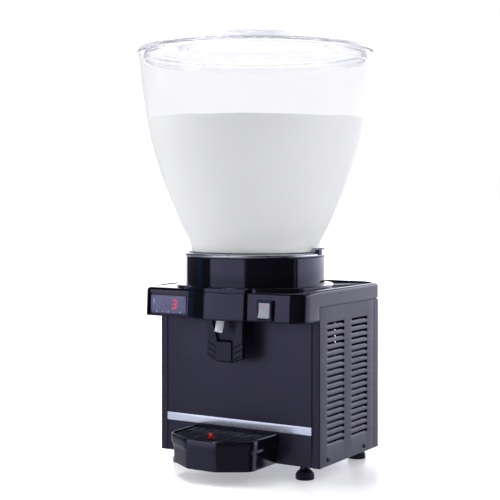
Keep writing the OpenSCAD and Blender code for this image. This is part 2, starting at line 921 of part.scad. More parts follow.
module impeller() {
    color("#f2f2f2") translate([0, 0, z_cup + paddle_up]) difference() {
        union() {
            cylinder(r = hub_r, h = hub_h);
            intersection() {
                for (a = [0, 90]) rotate([0, 0, a])
                    box([-paddle_r, -paddle_t / 2, 0], [paddle_r, paddle_t / 2, paddle_h]);
                cylinder(r = paddle_r, h = paddle_h);
            }
        }
        translate([0, 0, -cut]) cylinder(r = post_r + run, h = post_h + cut);
    }
}

module drive_rotor() {
    color("#4a4a50") {
        translate([0, 0, z_rotor]) cylinder(r = rotor_r, h = rotor_h);
        translate([0, 0, z_motor - shaft_in]) cylinder(r = shaft_r, h = z_rotor - z_motor + shaft_in + cut);
    }
}

module mixer_motor() {
    color("#55555c") difference() {
        union() {
            box([-motor_w / 2, -motor_w / 2, z_motor - motor_h / 2], [motor_w / 2, motor_w / 2, z_motor]);
            translate([0, 0, z_motor - motor_h]) cylinder(r = motor_w / 2 - motor_step, h = motor_h - cut);
        }
        translate([0, 0, z_motor - shaft_in - cut]) cylinder(r = shaft_r + run, h = shaft_in + 2 * cut);
    }
}

module motor_bracket() {
    near = motor_w / 2 - bracket_in;
    far = near + bracket_out;
    color("gray") difference() {
        union() {
            box([-motor_w / 2, -motor_w / 2, z_motor], [motor_w / 2, motor_w / 2, z_motor + pan_t]);
            for (sx = [0, 1], sy = [0, 1]) mirror([sx, 0, 0]) mirror([0, sy, 0]) {
                box([near, near, z_motor], [far, far, z_motor + pan_t]);
                translate([far, far, z_motor]) cylinder(r = bracket_post_r, h = z_deck_in - z_motor);
            }
        }
        translate([0, 0, z_motor - cut]) cylinder(r = shaft_r + shaft_room, h = pan_t + 2 * cut);
    }
}

// Profile of the bowl's wall: a cubic between two radii with given slopes, t from 0 to 1
function blend(r0, s0, r1, s1, h, t) =
    r0 * (1 - 3 * t * t + 2 * t * t * t) + r1 * (3 * t * t - 2 * t * t * t)
    + h * s0 * (t - 2 * t * t + t * t * t) + h * s1 * (t * t * t - t * t);

// Outer points of the bowl over its foot, from the neck to the rim, drawn in by d
function bowl_points(d) = concat(
    [[neck_r - d, 0]],
    [for (i = [0 : 6]) let (t = i / 6, h = waist_z - neck_h)
        [blend(neck_r, 0, waist_r, waist_slope, h, t) - d, neck_h + h * t]],
    [for (i = [1 : 10]) let (t = i / 10, h = shoulder_z - waist_z)
        [blend(waist_r, waist_slope, shoulder_r, shoulder_slope, h, t) - d, waist_z + h * t]],
    [for (i = [1 : 6]) let (t = i / 6, h = rim_z - shoulder_z)
        [blend(shoulder_r, shoulder_slope, rim_r, rim_slope, h, t) - d, shoulder_z + h * t]]);

function reversed(list) = [for (i = [len(list) - 1 : -1 : 0]) list[i]];

module bowl() {
    color("#e8f0f6", 0.4) translate([0, 0, z_bowl]) rotate_extrude()
        polygon(concat(bowl_points(0), reversed(bowl_points(bowl_wall)),
            [[spigot_in, 0], [spigot_in, -spigot_len], [spigot_out, -spigot_len], [spigot_out, 0]]));
}

module bowl_tab() {
    tab_z = z_bead + bead_r + lock_h + gap;
    color("#a9c4e6", 0.6) difference() {
        box([neck_r - tab_t, lock_y - lock_over, tab_z],
            [bead_c + bead_r + tab_over, lock_y + lock_w + lock_over, tab_z + tab_t]);
        translate([0, 0, z_bowl]) rotate_extrude()
            polygon(concat([[0, 0]], bowl_points(-seat), [[0, rim_z]]));
    }
}

// Radius of the bowl's inside at a height, on the straight lines between its points
function inside_r(z) = lookup(z, [for (p = bowl_points(bowl_wall)) [p[1], p[0]]]);

module drink() {
    low = z_cup + gap - z_bowl;
    color("#f4f4f2") translate([0, 0, z_bowl]) difference() {
        rotate_extrude() polygon(concat([[0, low], [spigot_out, low], [spigot_out, -spigot_len - gap],
            [spigot_in - gap, -spigot_len - gap], [spigot_in - gap, gap]],
            [for (p = bowl_points(bowl_wall + gap)) if (p[1] > neck_h && p[1] < drink_z) p],
            [[inside_r(drink_z) - gap, drink_z], [0, drink_z]]));
        translate([0, 0, low - cut]) cylinder(r = hollow_r, h = hollow_h + cut);
    }
}

module lid() {
    top = z_lid_edge + lid_rise;
    lip_in = lid_lip_r - lid_wall;
    color("#e8f0f6", 0.4) rotate_extrude() polygon([
        [lid_lip_r, z_lid], [lid_r, z_lid], [lid_r, z_lid_edge - round_a], [lid_r - round_a, z_lid_edge],
        [lip_in, z_lid_edge], [disc_r + disc_slope, top - round_a], [disc_r, top], [disc_r, top + disc_h],
        [0, top + disc_h], [0, top + disc_h - lid_wall], [disc_r - lid_wall, top + disc_h - lid_wall],
        [disc_r - lid_wall, top - lid_wall],
        [lip_in, z_lid], [lip_in, z_lid - lid_lip], [lid_lip_r, z_lid - lid_lip]]);
}

// Plan of the tray drawn in by d: straight sides, slanting corners and a flat front
module tray_plan(d) {
    side = tray_w / 2;
    corner_y = y_tray - tray_side;
    run_x = side - tray_front_half;
    run_y = corner_y - y_tray_front;
    along = sqrt(run_x * run_x + run_y * run_y);
    n = [run_y / along, -run_x / along];
    reach = n[0] * side + n[1] * corner_y - d;
    x1 = side - d;
    y1 = y_tray_front + d;
    b = [x1, (reach - n[0] * x1) / n[1]];
    c = [(reach - n[1] * y1) / n[0], y1];
    back = y_tray - d;
    polygon([[x1, back], b, c, [-c[0], c[1]], [-b[0], b[1]], [-x1, back]]);
}

module tray_slab(d, z0, z1) {
    translate([0, 0, z0]) linear_extrude(z1 - z0) tray_plan(d);
}

module drip_tray() {
    z_band = z_tray_top - band_h;
    color("#121116") difference() {
        union() {
            tray_slab(0, z_band, z_tray_top);
            tray_slab(band_in, z_tray + sole_h, z_tray_top);
            tray_slab(sole_in, z_tray, z_tray_top);
            box([-tray_w / 2 + band_in, y_tray - tray_side / 2, z_tray + sole_h],
                [tray_w / 2 - band_in, y_tray, z_tray_top]);
            for (s = [-1, 1]) box([s * hook_x - hook_w / 2, y_tray - tray_wall, z_hook],
                [s * hook_x + hook_w / 2, y_tray + hook_len, z_hook + hook_h]);
        }
        tray_slab(sole_in + tray_wall - band_in, z_tray + sole_h, z_tray_top + cut);
        tray_slab(tray_wall, z_grille - gap, z_tray_top + cut);
    }
}

module drip_grille() {
    z1 = z_grille + grille_t;
    y_lo = y_tray_front + grille_in + bar_margin;
    y_hi = y_tray - grille_in - back_len - 2 * bar_gap;
    y_back = y_tray - grille_in - bar_gap - back_len / 2;
    bars = floor((y_hi - y_lo) / bar_pitch);
    color("#17161b") difference() {
        tray_slab(grille_in, z_grille, z1);
        difference() {
            intersection() {
                tray_slab(grille_in + bar_margin, z_grille - cut, z1 + cut);
                for (i = [0 : bars - 1])
                    box([-tray_w, y_hi - i * bar_pitch - bar_gap, z_grille - 2 * cut],
                        [tray_w, y_hi - i * bar_pitch, z1 + 2 * cut]);
            }
            for (s = [-1, 1]) box([s * cross_x - cross_w / 2, y_tray_front, z_grille - 3 * cut],
                [s * cross_x + cross_w / 2, y_tray, z1 + 3 * cut]);
            translate([0, float_y, z_grille - 3 * cut])
                cylinder(r = float_r + float_boss, h = grille_t + 6 * cut);
        }
        for (i = [0 : back_slots - 1])
            translate([(i - (back_slots - 1) / 2) * back_pitch, y_back, z_grille - cut])
                linear_extrude(grille_t + 2 * cut) square([back_w, back_len], center = true);
        translate([0, float_y, z_grille - cut]) cylinder(r = float_r + gap, h = grille_t + 2 * cut);
    }
}

module float_button() {
    color("#d8131d") translate([0, float_y, z_tray + sole_h + gap]) {
        cylinder(r = float_disc_r, h = float_disc_h);
        cylinder(r = float_r, h = tray_h - sole_h - gap + float_top);
    }
}

// One levelling foot, its ribbed base cut by small notches
module foot(sx, y) {
    color("#1a181e") translate([sx * foot_x, y, 0]) {
        difference() {
            cylinder(r = foot_r, h = foot_base_h);
            for (i = [0 : rib_n - 1]) rotate([0, 0, i * 360 / rib_n])
                translate([foot_r, 0, rib_low]) cylinder(r = rib_r, h = foot_base_h);
        }
        cylinder(r = foot_neck_r, h = foot_h - gap);
        cylinder(r = stud_r, h = stud_top - stud_room);
    }
}

module foot_front_left() {
    foot(-1, foot_y[0]);
}

module foot_front_right() {
    foot(1, foot_y[0]);
}

module foot_rear_left() {
    foot(-1, foot_y[1]);
}

module foot_rear_right() {
    foot(1, foot_y[1]);
}

// Places of the compressor's four mounts
module at_grommets() {
    m = can_r - plate_over;
    for (sx = [-1, 1], sy = [-1, 1]) translate([can_x + sx * m, can_y + sy * m, 0]) children();
}

module compressor() {
    m = can_r + plate_over;
    end_r = can_r * can_end;
    dome = can_r * can_dome;
    color("#1c1c20") {
        difference() {
            box([can_x - m, can_y - m, z_can - plate_t], [can_x + m, can_y + m, z_can]);
            at_grommets() translate([0, 0, z_can - plate_t - cut])
                cylinder(r = grommet_bore, h = plate_t + 2 * cut);
        }
        translate([can_x, can_y, z_can]) rotate_extrude()
            polygon([[0, -cut], [end_r, -cut], [end_r, 0], [can_r, dome], [can_r, can_h - dome],
                [end_r, can_h], [0, can_h]]);
        for (s = [-1, 1]) translate([can_x + s * stub_x, can_y, z_can + can_h / 2])
            cylinder(r = line_r + stub_wall, h = can_h / 2 + stub_up);
    }
}

module compressor_grommets() {
    color("#202024") at_grommets() tube(grommet_bore, grommet_r, z_pan, grommet_h);
}

module condenser() {
    span = cond_y1 - cond_y0;
    pitch = (span - fin_t) / (fin_n - 1);
    rise = (top_line_z - low_line_z) / (tube_rows - 1);
    color("#9a9aa2") {
        for (i = [0 : fin_n - 1])
            translate([cond_x0, cond_y0 + i * pitch, z_pan]) cube([cond_t, fin_t, cond_h]);
        for (i = [0 : tube_rows - 1]) translate([cond_x, cond_y0, low_line_z + i * rise])
            rotate([-90, 0, 0]) cylinder(r = cond_tube_r, h = span);
    }
}

// Puts a child on the fan's axis
module at_fan() {
    translate([0, fan_y, fan_z]) children();
}

module fan_shroud() {
    half = fan_ring_r + shroud_edge;
    strut_x = fan_motor_x1 - strut_t;
    color("#2a2a2e") {
        difference() {
            union() {
                box([shroud_x1 - shroud_sheet, fan_y - half, z_pan],
                    [shroud_x1, fan_y + half, fan_z + half]);
                at_fan() rod_x(fan_ring_r, shroud_x0, shroud_x1);
                box([shroud_x0 - shroud_foot, fan_y - half, z_pan],
                    [shroud_x1, fan_y + half, z_pan + shroud_sheet]);
            }
            at_fan() rod_x(fan_r + fan_clear, shroud_x0 - cut, shroud_x1 + cut);
        }
        difference() {
            for (a = [0 : 120 : 240]) at_fan() rotate([a, 0, 0])
                box([strut_x, -strut_w / 2, fan_motor_r / 2],
                    [shroud_x0 + cut, strut_w / 2, fan_ring_r - cut]);
            at_fan() rod_x(fan_motor_r + seat, strut_x - cut, shroud_x1);
            at_fan() rod_x(fan_r + fan_clear, fan_motor_x1, shroud_x1);
        }
    }
}

module fan_motor() {
    color("#3c3c44") at_fan() difference() {
        rod_x(fan_motor_r, fan_motor_x1 - fan_motor_len, fan_motor_x1);
        rod_x(fan_shaft_r + run, fan_motor_x1 - fan_shaft_in - 2 * cut, fan_motor_x1 + cut);
    }
}

module fan_blades() {
    color("#b9b9c0") at_fan() {
        rod_x(fan_shaft_r, fan_motor_x1 - fan_shaft_in, fan_x1 - cut);
        rod_x(fan_hub_r, fan_x0, fan_x1);
        intersection() {
            for (i = [0 : fan_n - 1]) rotate([i * 360 / fan_n, 0, 0])
                translate([(fan_x0 + fan_x1) / 2, 0, 0]) rotate([0, 0, blade_turn])
                    box([-blade_t / 2, -blade_half, 0], [blade_t / 2, blade_half, fan_r + cut]);
            rod_x(fan_r, fan_x0, fan_x1);
        }
    }
}

module filter_drier() {
    color("#b87333") translate([evap_x, evap_y, drier_z]) cylinder(r = drier_r, h = drier_h);
}

// A bent pipe through a list of points, with round elbows
module pipe(points) {
    for (i = [0 : len(points) - 2]) {
        a = points[i];
        v = points[i + 1] - a;
        long = norm(v);
        translate(a) rotate([0, acos(v[2] / long), atan2(v[1], v[0])]) cylinder(r = line_r, h = long);
    }
    for (i = [1 : len(points) - 2]) translate(points[i]) sphere(r = line_r);
}

module refrigerant_lines() {
    end_y = cond_y1 + line_step;
    can_top = z_can + can_h + stub_up;
    out_x = can_x + stub_x;
    back_x = can_x - stub_x;
    back_z = line_turn_z + line_step;
    color("#b87333") {
        pipe([[out_x, can_y, can_top], [out_x, can_y, line_turn_z], [out_x, end_y, line_turn_z],
            [cond_x, end_y, line_turn_z], [cond_x, end_y, top_line_z], [cond_x, cond_y1, top_line_z]]);
        pipe([[cond_x, cond_y1, low_line_z], [cond_x, end_y, low_line_z], [evap_x, end_y, low_line_z],
            [evap_x, evap_y, low_line_z], [evap_x, evap_y, drier_z]]);
        pipe([[evap_x, evap_y, drier_z + drier_h], [evap_x, evap_y, z_jacket]]);
        pipe([[-evap_x, evap_y, z_jacket], [-evap_x, evap_y, back_z], [back_x, evap_y, back_z],
            [back_x, can_y, back_z], [back_x, can_y, can_top]]);
    }
}

module board_bracket() {
    color("gray") {
        box([board_x, board_y, z_pan], [board_x + board_w, board_y + pan_t, z_pan + board_low + board_h]);
        box([board_x, board_y, z_pan], [board_x + board_w, board_y + board_foot, z_pan + pan_t]);
        for (x = [stand_in, board_w - stand_in], z = [stand_low, board_h])
            translate([board_x + x, board_y, z_pan + z])
                rotate([-90, 0, 0]) cylinder(r = stand_r, h = pan_t + board_off);
    }
}

module control_board() {
    color("#1f5a34") translate([board_x, board_y + pan_t + board_off, z_pan + board_low]) {
        cube([board_w, board_t, board_h]);
        translate([part_in, 0, coil_z]) cube([coil[0], board_t + coil[1], coil[2]]);
        for (i = [0 : relay_n - 1]) translate([part_in + i * relay_pitch, 0, relay_z])
            cube([relay[0], board_t + relay[1], relay[2]]);
    }
}

module cord_gland() {
    color("#1a181e") translate([gland_x, y_rear, gland_z]) rotate([90, 0, 0]) difference() {
        union() {
            translate([0, 0, -gland_flange_t]) cylinder(r = gland_flange, h = gland_flange_t);
            translate([0, 0, -gland_out]) cylinder(r = gland_neck, h = gland_out + gland_in);
        }
        translate([0, 0, -gland_out - cut]) cylinder(d = gland_bore, h = gland_out + gland_in + 2 * cut);
    }
}

base_pan();
corner_posts();
deck_plate();
front_panel();
side_panel_right();
side_panel_left();
rear_panel();
trim_strip();
panel_screws();
foot_bushes();
head_cover();
head_floor();
collar();
cooling_cup();
evaporator_jacket();
cup_foam();
bowl_seal();
lock_post();
controller_body();
controller_face();
switch_frame();
tap_body();
tap_nozzle();
lever_pin();
lever_spring();
impeller_post();
mixer_motor();
motor_bracket();
compressor();
compressor_grommets();
condenser();
fan_shroud();
fan_motor();
filter_drier();
refrigerant_lines();
board_bracket();
control_board();
cord_gland();
bowl();
bowl_tab();
drink();
lid();
tap_lever();
rocker();
impeller();
drive_rotor();
fan_blades();
drip_tray();
drip_grille();
float_button();
foot_front_left();
foot_front_right();
foot_rear_left();
foot_rear_right();
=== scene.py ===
"""Looks of the cold drink dispenser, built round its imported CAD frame.

Sizes inside the functions are in millimetres, in the frame's own axes: front -Y, up +Z, floor at 0.
"""

import json
import math

import bmesh
import bpy
import numpy as np
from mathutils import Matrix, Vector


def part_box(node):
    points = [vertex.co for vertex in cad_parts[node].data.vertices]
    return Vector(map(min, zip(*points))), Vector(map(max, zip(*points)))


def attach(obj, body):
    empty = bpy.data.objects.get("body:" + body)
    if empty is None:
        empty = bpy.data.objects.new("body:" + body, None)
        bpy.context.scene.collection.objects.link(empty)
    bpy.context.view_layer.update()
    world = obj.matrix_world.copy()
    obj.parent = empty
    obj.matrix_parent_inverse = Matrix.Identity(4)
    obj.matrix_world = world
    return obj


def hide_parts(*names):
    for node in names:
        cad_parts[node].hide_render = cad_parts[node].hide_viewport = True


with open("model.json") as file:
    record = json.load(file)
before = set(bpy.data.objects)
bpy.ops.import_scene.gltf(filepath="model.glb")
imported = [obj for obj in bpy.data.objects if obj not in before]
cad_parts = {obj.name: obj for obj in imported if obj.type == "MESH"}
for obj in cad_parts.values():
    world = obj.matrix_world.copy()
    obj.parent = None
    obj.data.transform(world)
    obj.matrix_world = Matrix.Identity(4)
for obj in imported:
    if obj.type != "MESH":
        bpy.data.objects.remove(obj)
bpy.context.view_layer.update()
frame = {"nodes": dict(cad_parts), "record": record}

bl_info = {
    "name": "Cold Drink Dispenser",
    "version": (1, 0, 0),
    "blender": (4, 5, 0),
    "location": "3D View > Sidebar > Dispenser",
    "description": "Builds the looks of a cold drink dispenser round its frame",
    "category": "Object",
}

MM = 0.001
TURN = 2 * math.pi
AXIS = 0.01
LEAST_ROUND = 0.05
STEPS_ROUND = 192


def low(node):
    """Lowest corner of a CAD node, in millimetres."""
    return np.array(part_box(node)[0]) / MM


def high(node):
    """Highest corner of a CAD node, in millimetres."""
    return np.array(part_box(node)[1]) / MM


# Sizes and colours


def length(label, hint, value):
    """A length property, in metres, from a default in millimetres."""
    return bpy.props.FloatProperty(name=label, description=hint, default=value * MM, unit="LENGTH")


def tint(label, hint, *value):
    """A colour property, as the colour is seen on a screen."""
    return bpy.props.FloatVectorProperty(
        name=label, description=hint, default=value, size=3, min=0, max=1, subtype="COLOR_GAMMA")


class DispenserSizes(bpy.types.PropertyGroup):
    """Sizes that the looks add to the frame."""

    head_round: length("Head rounding", "Radius along the head's top edge", 5.2)
    draft: length("Head draft", "How far the head's front leans back at its top", 2.4)
    seam: length("Head seam", "Gap between the head and the side panels", 1.8)
    ring_round: length("Ring rounding", "Radius on the raised ring's lip", 2.4)
    collar_round: length("Collar rounding", "Radius on the collar's top edge", 1)
    rim_round: length("Rim rounding", "Radius on the bowl's rim", 1.6)
    wave: length("Milk wave", "Height of the waves on the milk's edge", 1.6)
    crease: length("Tray crease", "Radius of the creases on the tray's front", 22)
    shoulder: length("Tray shoulder", "Radius of the creases on the tray's sides", 24)
    tray_round: length("Tray rounding", "Radius along the tray's rim", 1.4)
    groove: length("Lever groove", "Depth of the grooves on the lever", 0.9)
    strip_round: length("Strip rounding", "Radius along the trim strip's edges", 0.5)
    rib: length("Foot scallop", "Depth of the hollows between a foot's lobes", 1.1)
    bend: length("Sheet bend", "Outer radius of the side panels' front bend", 2)
    lip: length("Slot lip", "How far the lip under a slot is pressed in", 1.5)


class DispenserFinishes(bpy.types.PropertyGroup):
    """Colours of the finishes."""

    coat: tint("Cabinet coat", "Powder coat on the sheet panels", 0.085, 0.078, 0.110)
    gloss: tint("Gloss black", "Moulded black of the head, collar and tray", 0.030, 0.027, 0.038)
    matte: tint("Matte black", "Moulded black of the lever, feet and gland", 0.060, 0.055, 0.075)
    strip: tint("Trim metal", "Brushed metal of the trim strip", 0.90, 0.93, 1.0)
    steel: tint("Stainless steel", "Rolled rim of the cooling cup", 0.78, 0.79, 0.81)
    zinc: tint("Zinc sheet", "Plated sheet inside the cabinet", 0.62, 0.63, 0.65)
    panel: tint("Controller panel", "Smoked panel of the controller", 0.40, 0.40, 0.53)
    tab: tint("Bowl tab", "Tab on the bowl's foot", 0.52, 0.58, 0.68)
    milk: tint("Milk", "The drink in the bowl", 0.92, 0.92, 0.912)
    lit: tint("Lit red", "Lit digit, float and switch mark", 0.90, 0.06, 0.09)
    rocker: tint("Rocker", "The switch's rocker", 0.60, 0.61, 0.67)


def sizes():
    """The sizes, in millimetres, by name."""
    group = bpy.context.scene.dispenser_sizes
    return {key: getattr(group, key) / MM for key in DispenserSizes.__annotations__}


def colour(key):
    """A colour of the finishes, made linear for a shader."""
    seen = np.array(getattr(bpy.context.scene.dispenser_finishes, key))
    return linear(seen)


def linear(seen):
    """A screen colour as linear light: a straight foot below 0.04, a power of 2.4 above it."""
    seen = np.asarray(seen, float)
    return np.where(seen <= 0.04045, seen / 12.92, ((seen + 0.055) / 1.055) ** 2.4)


# Surfaces


def lattice(points, wrap_u=False, wrap_v=False):
    """Vertices and quads of a grid of points, closed in either direction where asked."""
    nu, nv = points.shape[:2]
    u = np.arange(nu if wrap_u else nu - 1)[:, None]
    v = np.arange(nv if wrap_v else nv - 1)[None, :]
    a, b = u % nu, (u + 1) % nu
    c, d = v % nv, (v + 1) % nv
    quads = np.stack([a * nv + c, b * nv + c, b * nv + d, a * nv + d], axis=-1)
    return points.reshape(-1, 3), quads.reshape(-1, 4)


def fan(points, flip=False):
    """A closed loop of points filled to its middle: the grid from the loop to one repeated point."""
    middle = np.broadcast_to(points.mean(axis=0), points.shape)
    return lattice(np.stack([middle, points] if flip else [points, middle], axis=0), wrap_v=True)


def solid(name, sheets, slot, stands_for=(), body="cabinet", finish=None, sharp=38):
    """One closed piece from sheets of points in millimetres: doubles merged, faces turned outwards. Its
    finish is its slot's own unless another is named."""
    verts, faces, count = [], [], 0
    for points, quads in sheets:
        verts.append(points * MM)
        faces.append(quads + count)
        count += len(points)
    mesh = bpy.data.meshes.new(name)
    mesh.from_pydata(np.concatenate(verts).tolist(), [], np.concatenate(faces).tolist())
    work = bmesh.new()
    work.from_mesh(mesh)
    bmesh.ops.remove_doubles(work, verts=work.verts, dist=2e-6)
    bmesh.ops.dissolve_degenerate(work, edges=work.edges, dist=1e-7)
    bmesh.ops.delete(work, geom=[v for v in work.verts if not v.link_faces], context="VERTS")
    bmesh.ops.recalc_face_normals(work, faces=work.faces)
    work.to_mesh(mesh)
    work.free()
    mesh.shade_smooth()
    mesh.set_sharp_from_angle(angle=math.radians(sharp))
    piece = bpy.data.objects.new(name, mesh)
    bpy.context.scene.collection.objects.link(piece)
    mesh.materials.append(FINISHES[finish or slot])
    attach(piece, body)
    if stands_for:
        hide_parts(*stands_for)


def capped(grid):
    """The sheets of a grid that is closed round each row, and filled at its first and its last row."""
    return [lattice(grid, wrap_v=True), fan(grid[0], True), fan(grid[-1])]


def carried(line, places):
    """A grid of a line in Y and Z repeated at places along X."""
    return np.stack([np.column_stack([np.full(len(line), x), line]) for x in places])


def pierced(outer, inner, keep):
    """A sheet with holes: the kept cells of an outer and an inner grid, and walls round what is kept."""
    nu, nv = outer.shape[:2]
    index = np.arange(nu * nv).reshape(nu, nv)
    cells = np.stack([index[:-1, :-1], index[1:, :-1], index[1:, 1:], index[:-1, 1:]], axis=-1)[keep]
    padded = np.pad(keep, 1)
    along_v = padded[1:, 1:-1] != padded[:-1, 1:-1]
    along_u = padded[1:-1, 1:] != padded[1:-1, :-1]
    start = np.concatenate([index[:, :-1][along_v], index[:-1][along_u]])
    end = np.concatenate([index[:, 1:][along_v], index[1:][along_u]])
    walls = np.stack([start, end, end + nu * nv, start + nu * nv], axis=-1)
    points = np.concatenate([outer.reshape(-1, 3), inner.reshape(-1, 3)])
    return points, np.concatenate([cells, cells[:, ::-1] + nu * nv, walls])


def smooth(value, start, end):
    """0 before start, 1 after end, and a smooth cubic between them."""
    t = np.clip((value - start) / (end - start), 0, 1)
    return t * t * (3 - 2 * t)


def arc(centre, radius, start, end, count=7):
    """Points on an arc in the plane, by angles in degrees."""
    t = np.radians(np.linspace(start, end, count))
    return np.stack([centre[0] + radius * np.cos(t), centre[1] + radius * np.sin(t)], axis=-1)


def softened(corners, radii, count=6, shares=None):
    """A polygon whose corners are rounded: each corner is replaced by the arc that touches both its edges,
    with points at even shares of its way or at shares of its own."""
    corners = np.asarray(corners, float)
    line = []
    for i, (p, r) in enumerate(zip(corners, radii)):
        if r > 0:
            share = (shares or {}).get(i, np.linspace(0, 1, count))
            line.append(corner_arc(corners[i - 1], p, corners[(i + 1) % len(corners)], r, share))
        else:
            line.append(p[None])
    return np.concatenate(line)


def corner_arc(before, p, after, r, share):
    """Points of the arc of radius r at corner p, at shares of its way from the first edge to the second."""
    a = (before - p) / np.linalg.norm(before - p)
    b = (after - p) / np.linalg.norm(after - p)
    half = math.acos(np.clip(a @ b, -1, 1)) / 2
    middle = (a + b) / np.linalg.norm(a + b)
    centre = p + middle * r / math.sin(half)
    start = p + a * r / math.tan(half) - centre
    side = -a * r
    turn = (math.pi - 2 * half) * np.asarray(share)[:, None]
    return centre + start * np.cos(turn) + side * np.sin(turn)


def outline(corners, radii, inset, count, shares=None):
    """A rounded plan drawn in by an inset, counter-clockwise: each edge moves in along its normal, and a
    corner's radius shrinks where the plan turns left and grows where it turns right. The number of points
    never changes."""
    corners = np.asarray(corners, float)
    ahead = np.roll(corners, -1, axis=0) - corners
    ahead /= np.linalg.norm(ahead, axis=1)[:, None]
    back = np.roll(ahead, 1, axis=0)
    cross = back[:, 0] * ahead[:, 1] - back[:, 1] * ahead[:, 0]
    normal = np.stack([-ahead[:, 1], ahead[:, 0]], axis=-1)
    normal_back = np.roll(normal, 1, axis=0)
    both = normal + normal_back
    moved = corners + inset * both / np.maximum(1 + (normal * normal_back).sum(axis=1), 1e-6)[:, None]
    drawn = [max(r - math.copysign(inset, c), LEAST_ROUND) if r > 0 else 0 for r, c in zip(radii, cross)]
    return softened(moved, drawn, count, shares)


def tower(rows, plan):
    """A stack of plans: row i of the grid is plan(inset i) at height i."""
    return np.stack([np.column_stack([plan(d), np.full(len(plan(d)), z)]) for d, z in rows])


def spun(profile, count=STEPS_ROUND, centre=(0, 0)):
    """A profile of radius and height turned about an upright axis: x = r cos t, y = r sin t."""
    t = np.linspace(0, TURN, count, endpoint=False)[:, None]
    r, z = profile[None, :, 0], profile[None, :, 1]
    return np.stack([centre[0] + r * np.cos(t), centre[1] + r * np.sin(t), z + 0 * t], axis=-1)


def spun_solid(profile, count=STEPS_ROUND):
    """The closed grid of a closed profile that is turned."""
    return lattice(spun(profile, count), True, True)


def turned(sheet, matrix, shift):
    """A sheet's points turned by a matrix of three columns and moved."""
    points, quads = sheet
    return points @ np.asarray(matrix, float).T + np.asarray(shift, float), quads


def laid(sheets, matrix, shift):
    """Sheets turned by a matrix and moved."""
    return [turned(sheet, matrix, shift) for sheet in sheets]


def about_x(degrees):
    """The matrix of a turn about X."""
    c, s = math.cos(math.radians(degrees)), math.sin(math.radians(degrees))
    return np.array([[1, 0, 0], [0, c, -s], [0, s, c]])


def facing(way):
    """The matrix that lays plan X, plan Y and height along the wall of a side: the height points outwards."""
    return np.column_stack({
        "right": [(0, 1, 0), (0, 0, 1), (1, 0, 0)],
        "left": [(0, -1, 0), (0, 0, 1), (-1, 0, 0)],
        "front": [(1, 0, 0), (0, 0, 1), (0, -1, 0)],
        "back": [(-1, 0, 0), (0, 0, 1), (0, 1, 0)],
    }[way])


def box_plan(width, depth, radius):
    """The plan function of a rectangle with round corners about the origin."""
    w, d = width / 2, depth / 2
    corners = [(w, -d), (w, d), (-w, d), (-w, -d)]

    def plan(inset):
        """The rectangle, drawn in by an inset."""
        return outline(corners, [radius] * 4, inset, 6)

    return plan


def soft_block(width, depth, height, radius, edge):
    """The sheets of a block that stands at 0, with round upright corners and a rounded top and bottom
    edge."""
    t = np.radians(np.linspace(0, 90, 5))
    below = [(edge * (1 - math.sin(a)), edge * (1 - math.cos(a))) for a in t]
    above = [(edge * (1 - math.cos(a)), height - edge * (1 - math.sin(a))) for a in t]
    return capped(tower(below + above, box_plan(width, depth, radius)))


# Finishes


NOISE_LOW = 0.3
NOISE_HIGH = 0.7


def knot(tree, kind, settings=None, **feeds):
    """A shader node with its settings, its values and its links."""
    made = tree.nodes.new("ShaderNode" + kind)
    for key, value in (settings or {}).items():
        setattr(made, key, value)
    feed(tree, made, **feeds)
    return made


def feed(tree, node, **feeds):
    """Gives a node's sockets their values and links, by the sockets' names."""
    for key, value in feeds.items():
        socket = node.inputs[key.replace("_", " ")]
        if isinstance(value, bpy.types.NodeSocket):
            tree.links.new(value, socket)
        else:
            socket.default_value = value


def joined(tree, kind, operation, *sockets):
    """The result of an operation on sockets."""
    made = knot(tree, kind, {"operation": operation})
    for source, target in zip(sockets, made.inputs):
        tree.links.new(source, target)
    return made.outputs[0]


def mixed(tree, share, first, second):
    """A shader that goes from a first to a second one by a share."""
    made = knot(tree, "MixShader", Fac=share)
    tree.links.new(first.outputs[0], made.inputs[1])
    tree.links.new(second.outputs[0], made.inputs[2])
    return made


def straight_ray(tree):
    """1 for what looks straight at a surface or through glass at it, and 0 for all else."""
    ray = knot(tree, "LightPath").outputs
    return joined(tree, "Math", "MAXIMUM", ray["Is Camera Ray"], ray["Is Transmission Ray"])


def fresh(name):
    """A new material: its tree, its main shader and its object coordinates."""
    finish = bpy.data.materials.new(name)
    finish.use_nodes = True
    tree = finish.node_tree
    return finish, tree, tree.nodes["Principled BSDF"], tree.nodes.new("ShaderNodeTexCoord").outputs["Object"]


def rgba(value, share=1.0):
    """A linear colour, made darker or lighter by a share."""
    return (*np.clip(np.asarray(value, float) * share, 0, 1), 1)


def stops(tree, source, rows):
    """A colour ramp from rows of a place and a colour."""
    made = knot(tree, "ValToRGB", Fac=source)
    elements = made.color_ramp.elements
    for i, (place, shade) in enumerate(rows):
        stop = elements[0] if i < 1 else elements[-1] if i == len(rows) - 1 else elements.new(place)
        stop.position = place
        stop.color = (*shade[:3], 1)
    return made.outputs["Color"]


def ramp(tree, source, first, last):
    """A colour that goes from a first to a last one over the middle of a noise."""
    return stops(tree, source, [(NOISE_LOW, first), (NOISE_HIGH, last)])


def spanned(tree, source, first, last, start=NOISE_LOW, end=NOISE_HIGH):
    """A value between two values over a stretch of its source, at first the middle of a noise."""
    made = knot(tree, "MapRange", Value=source, From_Min=start, From_Max=end, To_Min=first, To_Max=last)
    return made.outputs["Result"]


def noise(tree, where, scale, detail=3.0, stretch=None):
    """A noise on object coordinates, stretched along the axes where asked."""
    if stretch:
        where = knot(tree, "Mapping", Vector=where, Scale=stretch).outputs["Vector"]
    return knot(tree, "TexNoise", Vector=where, Scale=scale, Detail=detail).outputs["Fac"]


